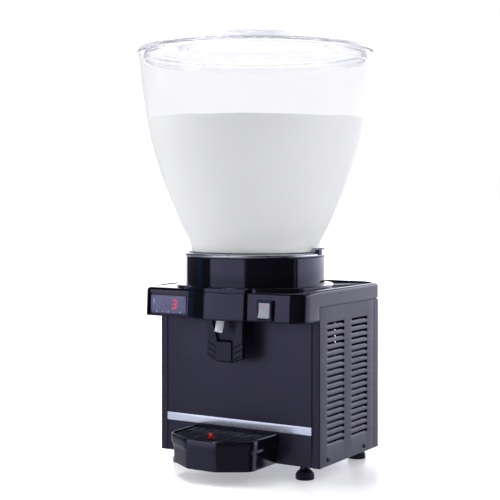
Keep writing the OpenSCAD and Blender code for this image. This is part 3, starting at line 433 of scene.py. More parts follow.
def grained(name, base, rough, metal=0.0, spread=0.10, scale=30, fine=900, bump=0.05, depth=0.2, stretch=None,
            edge=0.0, shine=0.5, cast=(1, 1, 1)):
    """A finish with a faint cloud in its colour, an uneven roughness and a fine relief; edge rounds the light
    on sharp edges by that radius in millimetres, and cast tints the gloss."""
    finish, tree, main, where = fresh(name)
    cloud = noise(tree, where, scale, stretch=stretch)
    grain = noise(tree, where, fine, 2.0, stretch)
    relief = knot(tree, "Bump", Strength=bump, Distance=depth * MM, Height=grain)
    if edge:
        rounded = knot(tree, "Bevel", {"samples": 4}, Radius=edge * MM)
        tree.links.new(rounded.outputs["Normal"], relief.inputs["Normal"])
    feed(tree, main, Base_Color=ramp(tree, cloud, rgba(base, 1 - spread), rgba(base, 1 + spread)),
         Roughness=spanned(tree, cloud, rough * 0.85, min(rough * 1.15, 1)), Normal=relief.outputs["Normal"],
         Metallic=metal, Specular_IOR_Level=shine, Specular_Tint=(*cast, 1))
    return finish


def clear_finish(name, body, index, thin=0.0, rough=0.02):
    """Clear moulded plastic: glass with faint flow marks, thinned by a share that lets everything straight
    through, and all of the light that falls on things inside it."""
    finish, tree, main, where = fresh(name)
    flow = noise(tree, where, 14, 2.0, (1, 1, 0.35))
    feed(tree, main, Base_Color=ramp(tree, flow, rgba(body, 0.996), rgba(body)),
         Roughness=spanned(tree, flow, rough * 0.9, rough * 1.1), Transmission_Weight=1, IOR=index)
    through = knot(tree, "BsdfTransparent", Color=rgba(body))
    ray = knot(tree, "LightPath").outputs
    lighting = joined(tree, "Math", "MAXIMUM", ray["Is Shadow Ray"], ray["Is Diffuse Ray"])
    open_way = mixed(tree, spanned(tree, lighting, thin, 1, 0, 1), main, through)
    tree.links.new(open_way.outputs["Shader"], tree.nodes["Material Output"].inputs["Surface"])
    return finish


def milk_finish():
    """Milk: soft white with light scattered under its surface and faint clouds."""
    finish, tree, main, where = fresh("fresh_milk")
    cloud = noise(tree, where, 9, 4.0)
    milk = colour("milk")
    feed(tree, main, Base_Color=ramp(tree, cloud, rgba(milk, 0.99), rgba(milk)),
         Roughness=spanned(tree, cloud, 0.31, 0.34), Subsurface_Weight=0.3,
         Subsurface_Radius=(0.006, 0.005, 0.004))
    return finish


def glowing(name, base, strength):
    """A lit segment: a body with a glow of its own colour and faint clouds in both."""
    finish, tree, main, where = fresh(name)
    cloud = noise(tree, where, 300)
    feed(tree, main, Base_Color=ramp(tree, cloud, rgba(base, 0.8), rgba(base)),
         Emission_Color=ramp(tree, cloud, rgba(base, 0.85), rgba(base)), Emission_Strength=strength,
         Roughness=0.4)
    return finish


def board_finish():
    """A printed board: green lacquer with pale tracks that run along it."""
    finish, tree, main, where = fresh("board_lacquer")
    tracks = knot(tree, "TexBrick", {"offset": 0.5}, Vector=where, Scale=90, Mortar_Size=0.03,
                  Color1=(0.010, 0.085, 0.030, 1), Color2=(0.014, 0.105, 0.040, 1),
                  Mortar=(0.10, 0.21, 0.09, 1)).outputs
    feed(tree, main, Base_Color=tracks["Color"], Roughness=spanned(tree, tracks["Fac"], 0.3, 0.5, 0, 1))
    return finish


FINISHES = {}
COOL = (0.70, 0.67, 1.0)


def make_finishes():
    """Every finish of the dispenser, by the name of the record's slot that it dresses or by a name of its
    own."""
    coat, gloss, matte = colour("coat"), colour("gloss"), colour("matte")
    FINISHES.update({
        "cabinet_paint": grained("cabinet_powder_coat", coat, 0.34, scale=24, fine=1500, bump=0.10,
                                 depth=0.10, edge=0.8, shine=0.62, cast=COOL),
        "zinc_steel": grained("zinc_sheet", colour("zinc"), 0.42, metal=0.9, spread=0.2, scale=90, fine=500),
        "trim_metal": grained("brushed_trim", colour("strip"), 0.24, metal=0.75, spread=0.04, scale=60,
                              fine=500, stretch=(0.04, 1, 1), bump=0.12),
        "screw_black": grained("black_screw", matte, 0.30, scale=200, cast=COOL),
        "gloss_black": grained("gloss_moulding", gloss, 0.07, scale=20, fine=260, bump=0.006, depth=0.3,
                               shine=0.62, cast=COOL),
        "matte_black": grained("matte_moulding", matte, 0.34, scale=40, fine=1100, bump=0.10, edge=0.5,
                               shine=0.55, cast=COOL),
        "stainless": grained("spun_stainless", colour("steel"), 0.30, metal=1.0, spread=0.06, scale=50,
                             fine=700, stretch=(1, 1, 6)),
        "copper": grained("copper_pipe", linear((0.78, 0.47, 0.33)), 0.32, metal=1.0, spread=0.18, scale=70),
        "foam": grained("foam_block", linear((0.91, 0.87, 0.72)), 0.9, scale=300, bump=0.5, depth=0.6),
        "seal_rubber": grained("seal_rubber", linear((0.16, 0.16, 0.18)), 0.6, scale=120, bump=0.2),
        "controller_panel": grained("smoked_panel", colour("panel"), 0.22, spread=0.05, scale=50, bump=0.02,
                                    cast=COOL),
        "seal_grey": grained("seal_grey", linear((0.34, 0.35, 0.39)), 0.5, scale=120, bump=0.1),
        "grille_black": grained("grille_moulding", gloss, 0.5, scale=60, fine=400, shine=0.25, cast=COOL),
        "tray_black": grained("tray_moulding", gloss, 0.17, fine=260, bump=0.01, shine=1.0, cast=COOL),
        "foot_black": grained("foot_moulding", gloss, 0.24, scale=60, fine=500, bump=0.04, cast=COOL),
        "controller_rim": grained("controller_rim", linear((0.25, 0.24, 0.27)), 0.4, scale=80, bump=0.1),
        "milky_silicone": grained("milky_tube", linear((0.90, 0.90, 0.93)), 0.28, spread=0.05, scale=80),
        "white_plastic": grained("white_moulding", linear((0.90, 0.90, 0.90)), 0.4, spread=0.03, scale=60,
                                 edge=0.4),
        "motor_iron": grained("motor_iron", linear((0.34, 0.34, 0.37)), 0.45, metal=0.7, spread=0.2,
                              scale=110),
        "compressor_paint": grained("compressor_enamel", linear((0.10, 0.10, 0.115)), 0.3, scale=60, fine=420,
                                    bump=0.12),
        "fin_aluminium": grained("fin_aluminium", linear((0.70, 0.71, 0.74)), 0.4, metal=0.9, spread=0.12,
                                 scale=120),
        "board_green": board_finish(),
        "clear_bowl": clear_finish("clear_bowl", (0.968, 0.968, 0.985), 1.1),
        "clear_lid": clear_finish("clear_lid", (0.965, 0.965, 0.988), 1.46, thin=0.14),
        "blue_clear": grained("tab_plastic", colour("tab"), 0.3, spread=0.06, scale=120, cast=COOL),
        "milk": milk_finish(),
        "rocker_grey": grained("rocker_plastic", colour("rocker"), 0.34, spread=0.03, scale=90, fine=1400),
        "float_red": grained("float_red", colour("lit"), 0.3, spread=0.08, scale=160),
        "lit_segment": glowing("lit_segment", colour("lit"), 1.2),
        "dim_segment": grained("dim_segment", colour("panel") * 0.72, 0.3, scale=300),
        "icon_ink": grained("icon_ink", linear((0.74, 0.76, 0.82)), 0.4, scale=300),
    })


# Operators


class StageOperator(bpy.types.Operator):
    """Makes the floor, the lamps, the surroundings and the camera"""

    bl_idname = "dispenser.stage"
    bl_label = "Stage"

    def execute(self, context):
        scene = context.scene
        scene.view_settings.view_transform = "Standard"
        make_floor()
        make_world(scene)
        for name, place, target, size, power in (
                ("lamp_right", (2.4, 0.9, 1.2), (0, 0, 0.35), (1.4, 2.0), 22),
                ("lamp_left", (-2.2, -1.0, 1.3), (0, 0, 0.35), (1.4, 2.0), 26),
                ("lamp_top", (-0.5, -0.3, 2.3), (0, 0, 0.3), (0.7, 0.7), 25),
        ):
            lamp = make_lamp(scene, name, place, target, size, power)
            lamp.visible_glossy = name == "lamp_top"
        make_camera(scene)
        return {"FINISHED"}


def make_floor():
    """A pale floor whose height is 0 everywhere: a grid of rings round the dispenser, wide enough to meet the
    sky."""
    rings = np.array([0.001, 0.4, 1.2, 4, 14, 60]) / MM
    grid = spun(np.column_stack([rings, 0 * rings]), 64)
    points, quads = lattice(grid, wrap_u=True)
    mesh = bpy.data.meshes.new("floor")
    mesh.from_pydata((points * MM).tolist(), [], quads.tolist())
    floor = bpy.data.objects.new("floor", mesh)
    bpy.context.scene.collection.objects.link(floor)
    mesh.materials.append(floor_finish())
    floor.visible_glossy = False


def floor_finish():
    """A smooth pale table that fades to white with distance for what looks straight at it."""
    finish, tree, main, where = fresh("pale_floor")
    cloud = noise(tree, where, 3)
    away = knot(tree, "VectorMath", {"operation": "LENGTH"}, Vector=where).outputs["Value"]
    fade = spanned(tree, away, 0.30, 1.0, 0.30, 0.90)
    feed(tree, main, Base_Color=ramp(tree, cloud, (0.89, 0.89, 0.91), (0.92, 0.92, 0.93)), Roughness=0.34,
         Emission_Color=(1, 1, 1, 1),
         Emission_Strength=joined(tree, "Math", "MULTIPLY", straight_ray(tree), fade))
    return finish


PANELS = ((-180, 0.05, 0.05), (-171, 0.05, 0.05), (-169, 0.04, 0.14), (-158, 0.04, 0.14), (-156, 0.04, 0.05),
          (-138, 0.04, 0.05), (-136, 0.74, 0.74), (-78, 0.66, 0.66), (-74, 0.05, 0.05), (-20, 0.03, 0.03),
          (7.5, 0.02, 0.02), (8.5, 0.35, 0.35), (9.5, 0.35, 0.35), (10.5, 0.04, 0.04), (13, 0.05, 0.05),
          (17, 1.05, 1.05), (80, 1.1, 1.1), (147, 1.1, 1.1), (149, 0.05, 0.05), (180, 0.05, 0.05))
LEVELS = ((-1, 0.10), (-0.22, 0.20), (-0.13, 0.40), (-0.04, 0.40), (0, 0.56), (0.12, 0.56), (0.17, 0.70),
          (0.36, 0.70), (0.46, 0.12), (1, 0.12))
TABLE = ((-180, 0.11), (-140, 0.11), (-134, 0), (-76, 0), (-70, 0.04), (-25, 0.04), (-10, 0), (142, 0),
         (148, 0.11), (180, 0.11))
TABLE_EDGE = (-0.19, -0.15)
PANEL_LIGHT = 3.75
PANEL_TINT = (0.87, 0.87, 1.0)
AMBIENT = 0.63
WHITE = 1.0


def make_world(scene):
    """White for what looks straight at it or through glass, an even pale light for what is lit by it, and for
    gloss a studio that is bright behind and at the front left, by the compass angle of the ray, and dark
    elsewhere; it dims towards the floor, has a row of lights a little over the dispenser, is dark overhead,
    and shows a pale table low on the left."""
    world = bpy.data.worlds.new("studio")
    scene.world = world
    world.use_nodes = True
    tree = world.node_tree
    way = knot(tree, "SeparateXYZ", Vector=knot(tree, "TexCoord").outputs["Generated"]).outputs
    compass = spanned(tree, joined(tree, "Math", "ARCTAN2", way["Y"], way["X"]), 0, 1, -math.pi, math.pi)
    panels = [((angle + 180) / 360, np.multiply((warm, (warm + cold) / 2, cold), PANEL_TINT))
              for angle, warm, cold in PANELS]
    levels = [((height + 1) / 2, np.full(3, level)) for height, level in LEVELS]
    shades = [((angle + 180) / 360, np.multiply(level, PANEL_TINT)) for angle, level in TABLE]
    upwards = stops(tree, spanned(tree, way["Z"], 0, 1, -1, 1), levels)
    studio = joined(tree, "VectorMath", "MULTIPLY", stops(tree, compass, panels), upwards)
    table = knot(tree, "VectorMath", {"operation": "SCALE"}, Vector=stops(tree, compass, shades),
                 Scale=spanned(tree, way["Z"], 1, 0, *TABLE_EDGE))
    both = joined(tree, "VectorMath", "ADD", studio, table.outputs["Vector"])
    glossy = knot(tree, "Background", Color=both, Strength=PANEL_LIGHT)
    ambient = knot(tree, "Background", Color=(0.97, 0.98, 1, 1), Strength=AMBIENT)
    white = knot(tree, "Background", Color=(1, 1, 1, 1), Strength=WHITE)
    lit = mixed(tree, knot(tree, "LightPath").outputs["Is Glossy Ray"], ambient, glossy)
    seen = mixed(tree, straight_ray(tree), lit, white)
    tree.links.new(seen.outputs["Shader"], tree.nodes["World Output"].inputs["Surface"])


def make_lamp(scene, name, place, target, size, power):
    """A soft rectangular lamp that looks at a point."""
    lamp = bpy.data.lights.new(name, "AREA")
    lamp.shape = "RECTANGLE"
    lamp.size, lamp.size_y = size
    lamp.energy = power
    holder = bpy.data.objects.new(name, lamp)
    holder.location = place
    way = np.subtract(target, place)
    flat = math.hypot(way[0], way[1])
    holder.rotation_euler = (math.atan2(flat, -way[2]), 0, math.atan2(-way[0], way[1]))
    scene.collection.objects.link(holder)
    return holder


def make_camera(scene):
    """The photograph's camera: a long lens a little above the tap, turned to the dispenser's right front."""
    lens = bpy.data.cameras.new("camera")
    lens.lens = 87.02
    lens.sensor_width = 36
    lens.shift_y = -0.07
    lens.clip_end = 200
    camera = bpy.data.objects.new("camera", lens)
    camera.location = (0.99854, -1.63500, 0.42562)
    camera.rotation_euler = (math.radians(89.16), 0, math.radians(31.666))
    scene.collection.objects.link(camera)
    scene.camera = camera


OWN_FINISH = {"controller_body": "controller_rim", "bowl_seal": "seal_grey", "drip_grille": "grille_black"}


class FrameFinishOperator(bpy.types.Operator):
    """Gives every frame piece the finish of its slot in the record"""

    bl_idname = "dispenser.frame_finish"
    bl_label = "Frame finishes"

    def execute(self, context):
        make_finishes()
        for row in frame["record"]["subparts"]:
            mesh = frame["nodes"][row["node"]].data
            mesh.materials.clear()
            mesh.materials.append(FINISHES[OWN_FINISH.get(row["node"], row["material_slot"])])
        return {"FINISHED"}


class HeadOperator(bpy.types.Operator):
    """Makes the head cover with its raised ring and border"""

    bl_idname = "dispenser.head"
    bl_label = "Head"

    def execute(self, context):
        solid("head_shell", head_sheets(sizes()), "gloss_black", ["head_cover"])
        return {"FINISHED"}


NOSE_R = 130
NOSE_HALF = 51.5
EAR_Y = -110
EAR_ROUND = 20
REAR_ROUND = 1.2
SEAM_Y = -54.3
SEAM_Z = high("side_panel_right")[2]
RING_R = 124.5
RING_RISE = 4.8
HEAD_WALL = 3
POCKET_DEPTH = 8.4
POCKET_WALL = 1.5
SIDE_RISE = 1.5
REAR_RISE = 3.6
REAR_RUN = 22
REAR_STATIONS = (0.95, 0.92, 0.89, 0.86, 0.83, 0.5)
CREASE_X = 124.2
CREASE_BACK = 8.8
CREASE_ROUND = 30
TONGUE = 1.7
TRIM = 4
NARROW = 2.2
STEP = 0.06


def pocket():
    """Left, right, lower and upper edge of the controller's pocket: the controller's plate with a little
    room."""
    lo, hi = low("controller_body"), high("controller_body")
    return lo[0] - 0.15, hi[0] + 0.15, lo[2] + 0.15, hi[2] + 0.15


def head_plan():
    """The head's plan: straight ears, the right one creased before its corner, a nose on an arc, pairs of
    stations where the pocket's outer and inner walls begin and end and where the front hangs below the seam,
    and stations along the rear edge."""
    x, back = high("head_cover")[:2]
    left, right = pocket()[:2]
    side = math.degrees(math.asin(NOSE_HALF / NOSE_R))
    nose = arc((0, low("head_cover")[1] + NOSE_R), NOSE_R, 270 - side, 270 + side, 33)
    ends = [(edge + way * STEP, EAR_Y) for edge in (right, right + POCKET_WALL) for way in (-1, 1)]
    front = [(-x, back), (-x, SEAM_Y + STEP), (-x, SEAM_Y - STEP), (-x, EAR_Y), *ends, (-NOSE_HALF, EAR_Y)]
    rest = [(NOSE_HALF, EAR_Y), (CREASE_X, EAR_Y), (x, EAR_Y + CREASE_BACK), (x, SEAM_Y - STEP),
            (x, SEAM_Y + STEP), (x, back)]
    rear = [(x * share, back) for share in (*REAR_STATIONS, 0, *(-share for share in REAR_STATIONS[::-1]))]
    corners = np.concatenate([front, nose, rest, rear])
    radii = [REAR_ROUND, 0, 0, EAR_ROUND, 0, 0, 0, 0, 2, 2.5] + [0] * (len(nose) - 2)
    radii += [2.5, 2, 0.8, CREASE_ROUND, 0, 0, REAR_ROUND] + [0] * len(rear)
    walls = (left, left - POCKET_WALL)
    turns = [math.degrees(math.acos((EAR_ROUND - x - edge) / EAR_ROUND)) / 90 for edge in walls]
    pairs = [turn + way * 0.002 for turn in turns for way in (-1, 1)]
    shares = {3: np.sort(np.concatenate([np.linspace(0, 1, 14), pairs]))}

    def plan(inset):
        """The head's plan, drawn in by an inset."""
        return outline(corners, radii, inset, 12, shares)

    return plan


def head_sheets(size):
    """A closed shell: its rows run down the inner wall, round the lower edge, up the outer wall, over the
    rounded top edge to the collar's hole, down it and back under the ceiling. Behind the seam the lower edge
    is a tongue that stands on the side panels inside a shadow gap. The front leans back towards its top. The
    pocket is a stretch of the left ear's wall pushed straight back. The top edge stands over the top as a
    border that is low along the sides, higher along the rear and level with the top at the front. The raised
    ring is a turned profile drawn in where the head's plan is narrower than it."""
    plan = head_plan()
    base = plan(0)
    foot, crown = low("head_cover")[2], high("head_cover")[2]
    top = crown - RING_RISE
    rear = SEAM_Z + size["seam"]
    ahead = base[:, 1] < SEAM_Y
    angle = np.arctan2(base[:, 1], base[:, 0])
    left, right, bottom, upper = pocket()
    r = size["head_round"]
    facing_front = smooth(-base[:, 1], 30, 100)
    half, back = high("head_cover")[:2]
    behind_side = smooth(base[:, 1], back - 4, back - 0.5) * smooth(half - np.abs(base[:, 0]), 0, REAR_RUN)
    crest = top + SIDE_RISE * smooth(base[:, 1], -95, -60) + (REAR_RISE - SIDE_RISE) * behind_side

    def row(inset, z, behind=None, grow=None):
        """A line round the plan at a height, with its own height behind the seam; the columns of the pocket,
        grown by a wall, are pushed back to it."""
        line = plan(inset)
        line[:, 0] += NARROW * smooth(-base[:, 1], 55, 95) * smooth(-base[:, 0], 128, 140)
        line[:, 1] += size["draft"] * (z - foot) / (top - foot) * facing_front
        if grow is not None:
            inside = (base[:, 0] > left - grow) & (base[:, 0] < right + grow)
            line[inside & (base[:, 1] < EAR_Y + EAR_ROUND), 1] = EAR_Y + POCKET_DEPTH + grow
        return np.column_stack([line, np.where(ahead, z, z if behind is None else behind)])

    def ring(radius, z):
        """A circle at a height, with a point for each point of the plan."""
        return np.column_stack([radius * np.cos(angle), radius * np.sin(angle), np.full(len(angle), z)])

    w, p = HEAD_WALL, POCKET_WALL
    rows = [row(w, top - w - 0.5), row(w, upper + p), row(w, upper + p - STEP, None, p),
            row(w, bottom - 0.10, rear + 1.3, p), row(w, bottom - 0.12, rear + 1.2),
            row(w, foot + 0.4, SEAM_Z + 0.4), row(w - 0.4, foot, SEAM_Z + STEP),
            row(TONGUE, foot, SEAM_Z + STEP), row(TONGUE - 0.1, foot, rear), row(0.6, foot, rear),
            row(0.18, foot + 0.18, rear + 0.18), row(0, foot + 0.6, rear + 0.6),
            row(0, bottom - 0.02, rear + 0.7), row(0, bottom, rear + 0.8, 0), row(0, upper - STEP, None, 0),
            row(0, upper)]
    bend = np.radians(np.linspace(0, 90, 9))
    rows += [row(r * (1 - math.cos(a)), crest - r * (1 - math.sin(a))) for a in bend]
    drop = 0.1 * (crest - top)
    rows += [row(r + 0.6, crest - drop), row(r + 1.2, top + drop), row(r + 1.6, top)]
    hole = high("collar")[0] + 0.1
    rows += [ring(hole + 3, top), ring(hole, top), ring(hole, top - w), ring(hole + 3, top - w),
             row(w + 1.5, top - w)]
    shell = lattice(np.stack(rows), True, True)
    lip = softened([(hole + 0.05, top - 3.2), (RING_R, top - 3.2), (RING_R, crown), (hole + 0.05, crown)],
                   [0, 0, size["ring_round"], 1.2])
    t = np.linspace(0, TURN, 288, endpoint=False)
    edge = plan(0.3)
    edge[:, 1] += size["draft"] * facing_front
    limit = np.linalg.norm(edge, axis=1) - TRIM * smooth(np.abs(edge[:, 0]), NOSE_HALF - 1, NOSE_HALF + 3)
    reach = np.interp(t, np.arctan2(edge[:, 1], edge[:, 0]), limit, period=TURN)
    share = (np.minimum(reach, RING_R) - hole) / (RING_R - hole)
    out = hole + (lip[None, :, 0] - hole) * share[:, None]
    t = t[:, None]
    band = np.stack([out * np.cos(t), out * np.sin(t), np.broadcast_to(lip[:, 1], out.shape)], axis=-1)
    return [shell, lattice(band, True, True)]


class CollarOperator(bpy.types.Operator):
    """Makes the collar round the cooling cup"""

    bl_idname = "dispenser.collar"
    bl_label = "Collar"

    def execute(self, context):
        r, z0, z1 = high("collar")[0], low("collar")[2], high("collar")[2]
        e = sizes()["collar_round"]
        wall = softened([(r - 3, z0), (r, z0), (r, z1), (r - 3, z1)], [0.3, 0.3, e, e])
        solid("collar_shell", [spun_solid(wall)], "gloss_black", ["collar"])
        return {"FINISHED"}


BOWL_FOOT = 340.6
BOWL_WALL = 3.5
BOWL_KNOTS = ((4, 102, 0), (39, 116.6, 0.48), (205, 173.2, 0.165), (311, 186.6, 0.085))
SPIGOT = (97.4, 94.4, 18)


def bowl_radius(z):
    """Outer radius of the bowl at heights over its foot: a straight neck, then cubic pieces that keep the
    radius and the slope at each knot."""
    z = np.asarray(z, float)
    made = np.full(z.shape, float(BOWL_KNOTS[0][1]))
    for (z0, r0, s0), (z1, r1, s1) in zip(BOWL_KNOTS, BOWL_KNOTS[1:]):
        h = z1 - z0
        t = np.clip((z - z0) / h, 0, 1)
        curve = (r0 * (1 - 3 * t**2 + 2 * t**3) + r1 * (3 * t**2 - 2 * t**3)
                 + h * s0 * (t - 2 * t**2 + t**3) + h * s1 * (t**3 - t**2))
        made = np.where(z > z0, curve, made)
    return made


class BowlOperator(bpy.types.Operator):
    """Makes the clear bowl"""

    bl_idname = "dispenser.bowl"
    bl_label = "Bowl"

    def execute(self, context):
        e = sizes()["rim_round"]
        rim = BOWL_KNOTS[-1][0]
        z = np.concatenate([[0.0], np.linspace(4, rim - e, 110)])
        outer = np.column_stack([bowl_radius(z), z])
        inner = np.column_stack([bowl_radius(z) - BOWL_WALL, z])
        edge = arc((bowl_radius(rim) - BOWL_WALL / 2, rim - e), BOWL_WALL / 2, 0, 180, 9)[1:-1]
        edge[:, 1] = rim - e + (edge[:, 1] - rim + e) * e / (BOWL_WALL / 2)
        out, inn, deep = SPIGOT
        foot = softened([(inn, 0), (inn, -deep), (out, -deep), (out, 0)], [0, 1, 1, 0])
        profile = np.concatenate([outer, edge, inner[::-1], foot]) + (0, BOWL_FOOT)
        solid("bowl_shell", [spun_solid(profile)], "clear_bowl", ["bowl"], "bowl")
        return {"FINISHED"}


class MilkOperator(bpy.types.Operator):
    """Makes the milk, with a wavy edge where it meets the bowl"""

    bl_idname = "dispenser.milk"
    bl_label = "Milk"

    def execute(self, context):
        solid("milk_fill", milk_sheets(sizes()), "milk", ["drink"], "bowl")
        return {"FINISHED"}


WET = 1.4
MIXER_ROOM = (66, 29)
WAVE_DEEP = 24
MILK_STEPS = 180


def milk_sheets(size):
    """The milk is a turned profile, and its top edge rises and falls round the bowl by a sum of three sines;
    the wave fades towards the middle of the surface. It wets the bowl's wall, and leaves a hollow round the
    mixer."""
    cup, level = low("drink")[2], high("drink")[2] - size["wave"] - 0.4
    gap = 0.3
    out, inn, deep = SPIGOT
    z = np.linspace(4.5, level - BOWL_FOOT, 70)
    wall = np.column_stack([bowl_radius(z) - BOWL_WALL + WET, z + BOWL_FOOT])
    edge = wall[-1, 0]
    surface = np.column_stack([edge - np.array([0.6, 2, 6, 14, 30, 60, 110, edge - AXIS]), np.full(8, level)])
    surface[:2, 1] -= np.array([-0.25, 0.1])
    hollow, rise = MIXER_ROOM
    under = BOWL_FOOT - deep - gap
    low_part = np.array([(AXIS, cup + rise), (hollow, cup + rise), (hollow, cup), (out, cup), (out, under),
                         (inn - gap, under), (inn - gap, BOWL_FOOT + gap),
                         (wall[0, 0], BOWL_FOOT + gap + 0.5)])
    profile = np.concatenate([low_part, wall, surface])
    grid = spun(profile, MILK_STEPS)
    t = np.linspace(0, TURN, MILK_STEPS, endpoint=False)[:, None]
    wave = 0.5 * np.sin(3 * t + 0.6) + 0.3 * np.sin(7 * t + 2.1) + 0.2 * np.sin(13 * t + 4.0)
    share = np.clip((profile[:, 1] - level + WAVE_DEEP) / WAVE_DEEP, 0, 1)
    share *= np.clip(profile[:, 0] / edge * 1.6 - 0.6, 0, 1)
    grid[..., 2] += size["wave"] * wave * share
    return [lattice(grid, wrap_u=True)]


class LidOperator(bpy.types.Operator):
    """Makes the clear lid with its edge band and raised disc"""

    bl_idname = "dispenser.lid"
    bl_label = "Lid"

    def execute(self, context):
        foot, r, top = low("lid")[2], high("lid")[0], high("lid")[2]
        lip, wall, disc, band, deep = 176.5, 3, 114, 6, 13
        z = foot + deep
        rise = z + band + 17
        profile = softened([
            (AXIS, top), (disc, top), (disc, rise), (disc + 12, rise - 1), (lip - wall, z + band),
            (r, z + band), (r, z), (lip, z), (lip, foot), (lip - wall, foot), (lip - wall, z - 0.5),
            (disc - wall, rise - wall), (disc - wall, top - wall), (AXIS, top - wall)],
            [0, 1.6, 2, 5, 3, 2.6, 0.8, 0.6, 1, 1, 6, 2, 1, 0], 7)
        solid("lid_shell", [lattice(spun(profile), True)], "clear_bowl", ["lid"], "lid", "clear_lid")
        return {"FINISHED"}


class TapOperator(bpy.types.Operator):
    """Makes the nozzle and the lever"""

    bl_idname = "dispenser.tap"
    bl_label = "Tap"

    def execute(self, context):
        inn, out = NOZZLE_RADII
        down, up = NOZZLE_ENDS
        tube = softened([(inn, down), (out, down), (out, up), (inn, up)], [0.7, 0.9, 0.3, 0.3])
        sheet = turned(spun_solid(tube, 48), about_x(-NOZZLE_LEAN), (0, NOZZLE_Y, low("head_cover")[2]))
        solid("nozzle_tube", [sheet], "milky_silicone", ["tap_nozzle"])
        solid("lever_plate", lever_sheets(sizes()), "matte_black", ["tap_lever"], "lever", sharp=30)
        return {"FINISHED"}


NOZZLE_RADII = (4, 6.2)
NOZZLE_ENDS = (-20, 7)
NOZZLE_LEAN = 17
NOZZLE_Y = -101
LEVER = {"half": 32, "pad": 14, "thick": 8, "proud": 3, "front": -90, "pad_rise": 33, "wing": 7, "recess": 24,
         "sunk": 5, "top": 240.4, "edge": 1.2}
LEVER_ARM = ((-89.5, 236), (-82.5, 236), (-65.8, 248.2), (-68, 252), (-72, 252), (-89.5, 244))
ARM_ENDS = np.array([17.2, 29.8])
GROOVES = (5, 14, 23)
GROOVE_SLANT = 27


def lever_sheets(size):
    """The plate is a height field over a grid of x and of shares of the way from its lower edge to its top:
    the pad stands out with slanted edges, the recess behind the nozzle is sunk between two slanting lines,
    and three grooves on each wing run down towards the middle. The back is flat, and two arms reach the
    pivot."""
    half, pad, thick = LEVER["half"], LEVER["pad"], LEVER["thick"]
    bottom, top = low("tap_lever")[2], LEVER["top"]
    x = np.unique(np.concatenate([np.linspace(-half, half, 97), [-pad, pad, -pad - 1, pad + 1]]))
    share = np.linspace(0, 1, 121)
    edge = bottom + LEVER["wing"] * np.clip((np.abs(x) - pad) / (half - pad), 0, 1)
    z = edge[:, None] + share[None, :] * (top - edge)[:, None]
    wide = np.abs(x)[:, None] + 0 * z
    pad_top = bottom + LEVER["pad_rise"]
    on_pad = smooth(pad + 0.6 - wide, 0, 1.2) * smooth(z, bottom - 1, bottom + 3)
    on_pad *= smooth(pad_top + 0.5 - z, 0, 2.5)
    border = pad + (LEVER["recess"] - pad) * (z - pad_top) / (top - pad_top)
    sunk = smooth(border - wide, 0, 0.9) * smooth(z, pad_top - 0.4, pad_top + 0.6)
    slant = z - (wide - half) * math.tan(math.radians(GROOVE_SLANT)) - (bottom + LEVER["wing"])
    groove = np.zeros_like(z)
    for rise in GROOVES:
        groove = np.maximum(groove, 1 - smooth(np.abs(slant - rise - 0.7), 0.35, 0.95))
    groove *= smooth(wide, pad + 1.6, pad + 2.2) * smooth(half - 1.5 - wide, 0, 0.6)
    rim = np.minimum(half - wide, np.minimum(z - edge[:, None], top - z))
    soft = LEVER["edge"] * (1 - np.sqrt(1 - (1 - np.clip(rim / LEVER["edge"], 0, 1)) ** 2))
    front = LEVER["front"] - LEVER["proud"] * on_pad + LEVER["sunk"] * sunk
    front += size["groove"] * groove * (1 - sunk) + soft
    xs = np.broadcast_to(x[:, None], z.shape)
    face = np.stack([xs, front, z], axis=-1)
    back = np.stack([xs, np.full_like(z, LEVER["front"] + thick), z], axis=-1)
    loop = [np.concatenate([g[:, 0], g[-1, 1:], g[-2::-1, -1], g[0, -2:0:-1]]) for g in (face, back)]
    line = softened(LEVER_ARM, [0.3, 2, 4, 2, 2, 2])
    arms = capped(carried(line, -ARM_ENDS)) + capped(carried(line, ARM_ENDS))
    return [lattice(face), lattice(back), lattice(np.stack(loop), wrap_v=True), *arms]


class ControllerOperator(bpy.types.Operator):
    """Makes the controller's panel, its digits and its row of marks"""

    bl_idname = "dispenser.controller"
    bl_label = "Controller"

    def execute(self, context):
        lo, hi = low("controller_face"), high("controller_face")
        middle = np.array([(lo[0] + hi[0]) / 2, hi[1], (lo[2] + hi[2]) / 2])
        thick = hi[1] - lo[1]
        way = facing("front")
        block = soft_block(hi[0] - lo[0], hi[2] - lo[2], thick, 3, 0.7)
        solid("controller_panel", laid(block, way, middle), "controller_panel", ["controller_face"])
        ghost = [sheet for x in DIM_DIGITS for sheet in digit_sheets(x, "abcdefg")]
        for name, sheets, slot, finish in (
                ("digit_lit", digit_sheets(LIT_DIGIT, "abcdg"), "float_red", "lit_segment"),
                ("digits_dim", ghost, "controller_panel", "dim_segment"),
                ("marks", mark_sheets(), "controller_panel", "icon_ink"),
        ):
            solid(name, laid(sheets, way, middle - (0, thick, 0)), slot, finish=finish)
        return {"FINISHED"}


LIT_DIGIT = 11.5
DIM_DIGITS = (1.0, -9.5)
DIGIT_UP = 1.0
DIGIT_LEAN = 6
DIGIT = (6.5, 13.0, 1.5)
MARK_ROW = -11.2


def plate(line, z0=-0.05, z1=0.15):
    """A thin flat plate of a closed outline."""
    return capped(np.stack([np.column_stack([line, np.full(len(line), z)]) for z in (z0, z1)]))


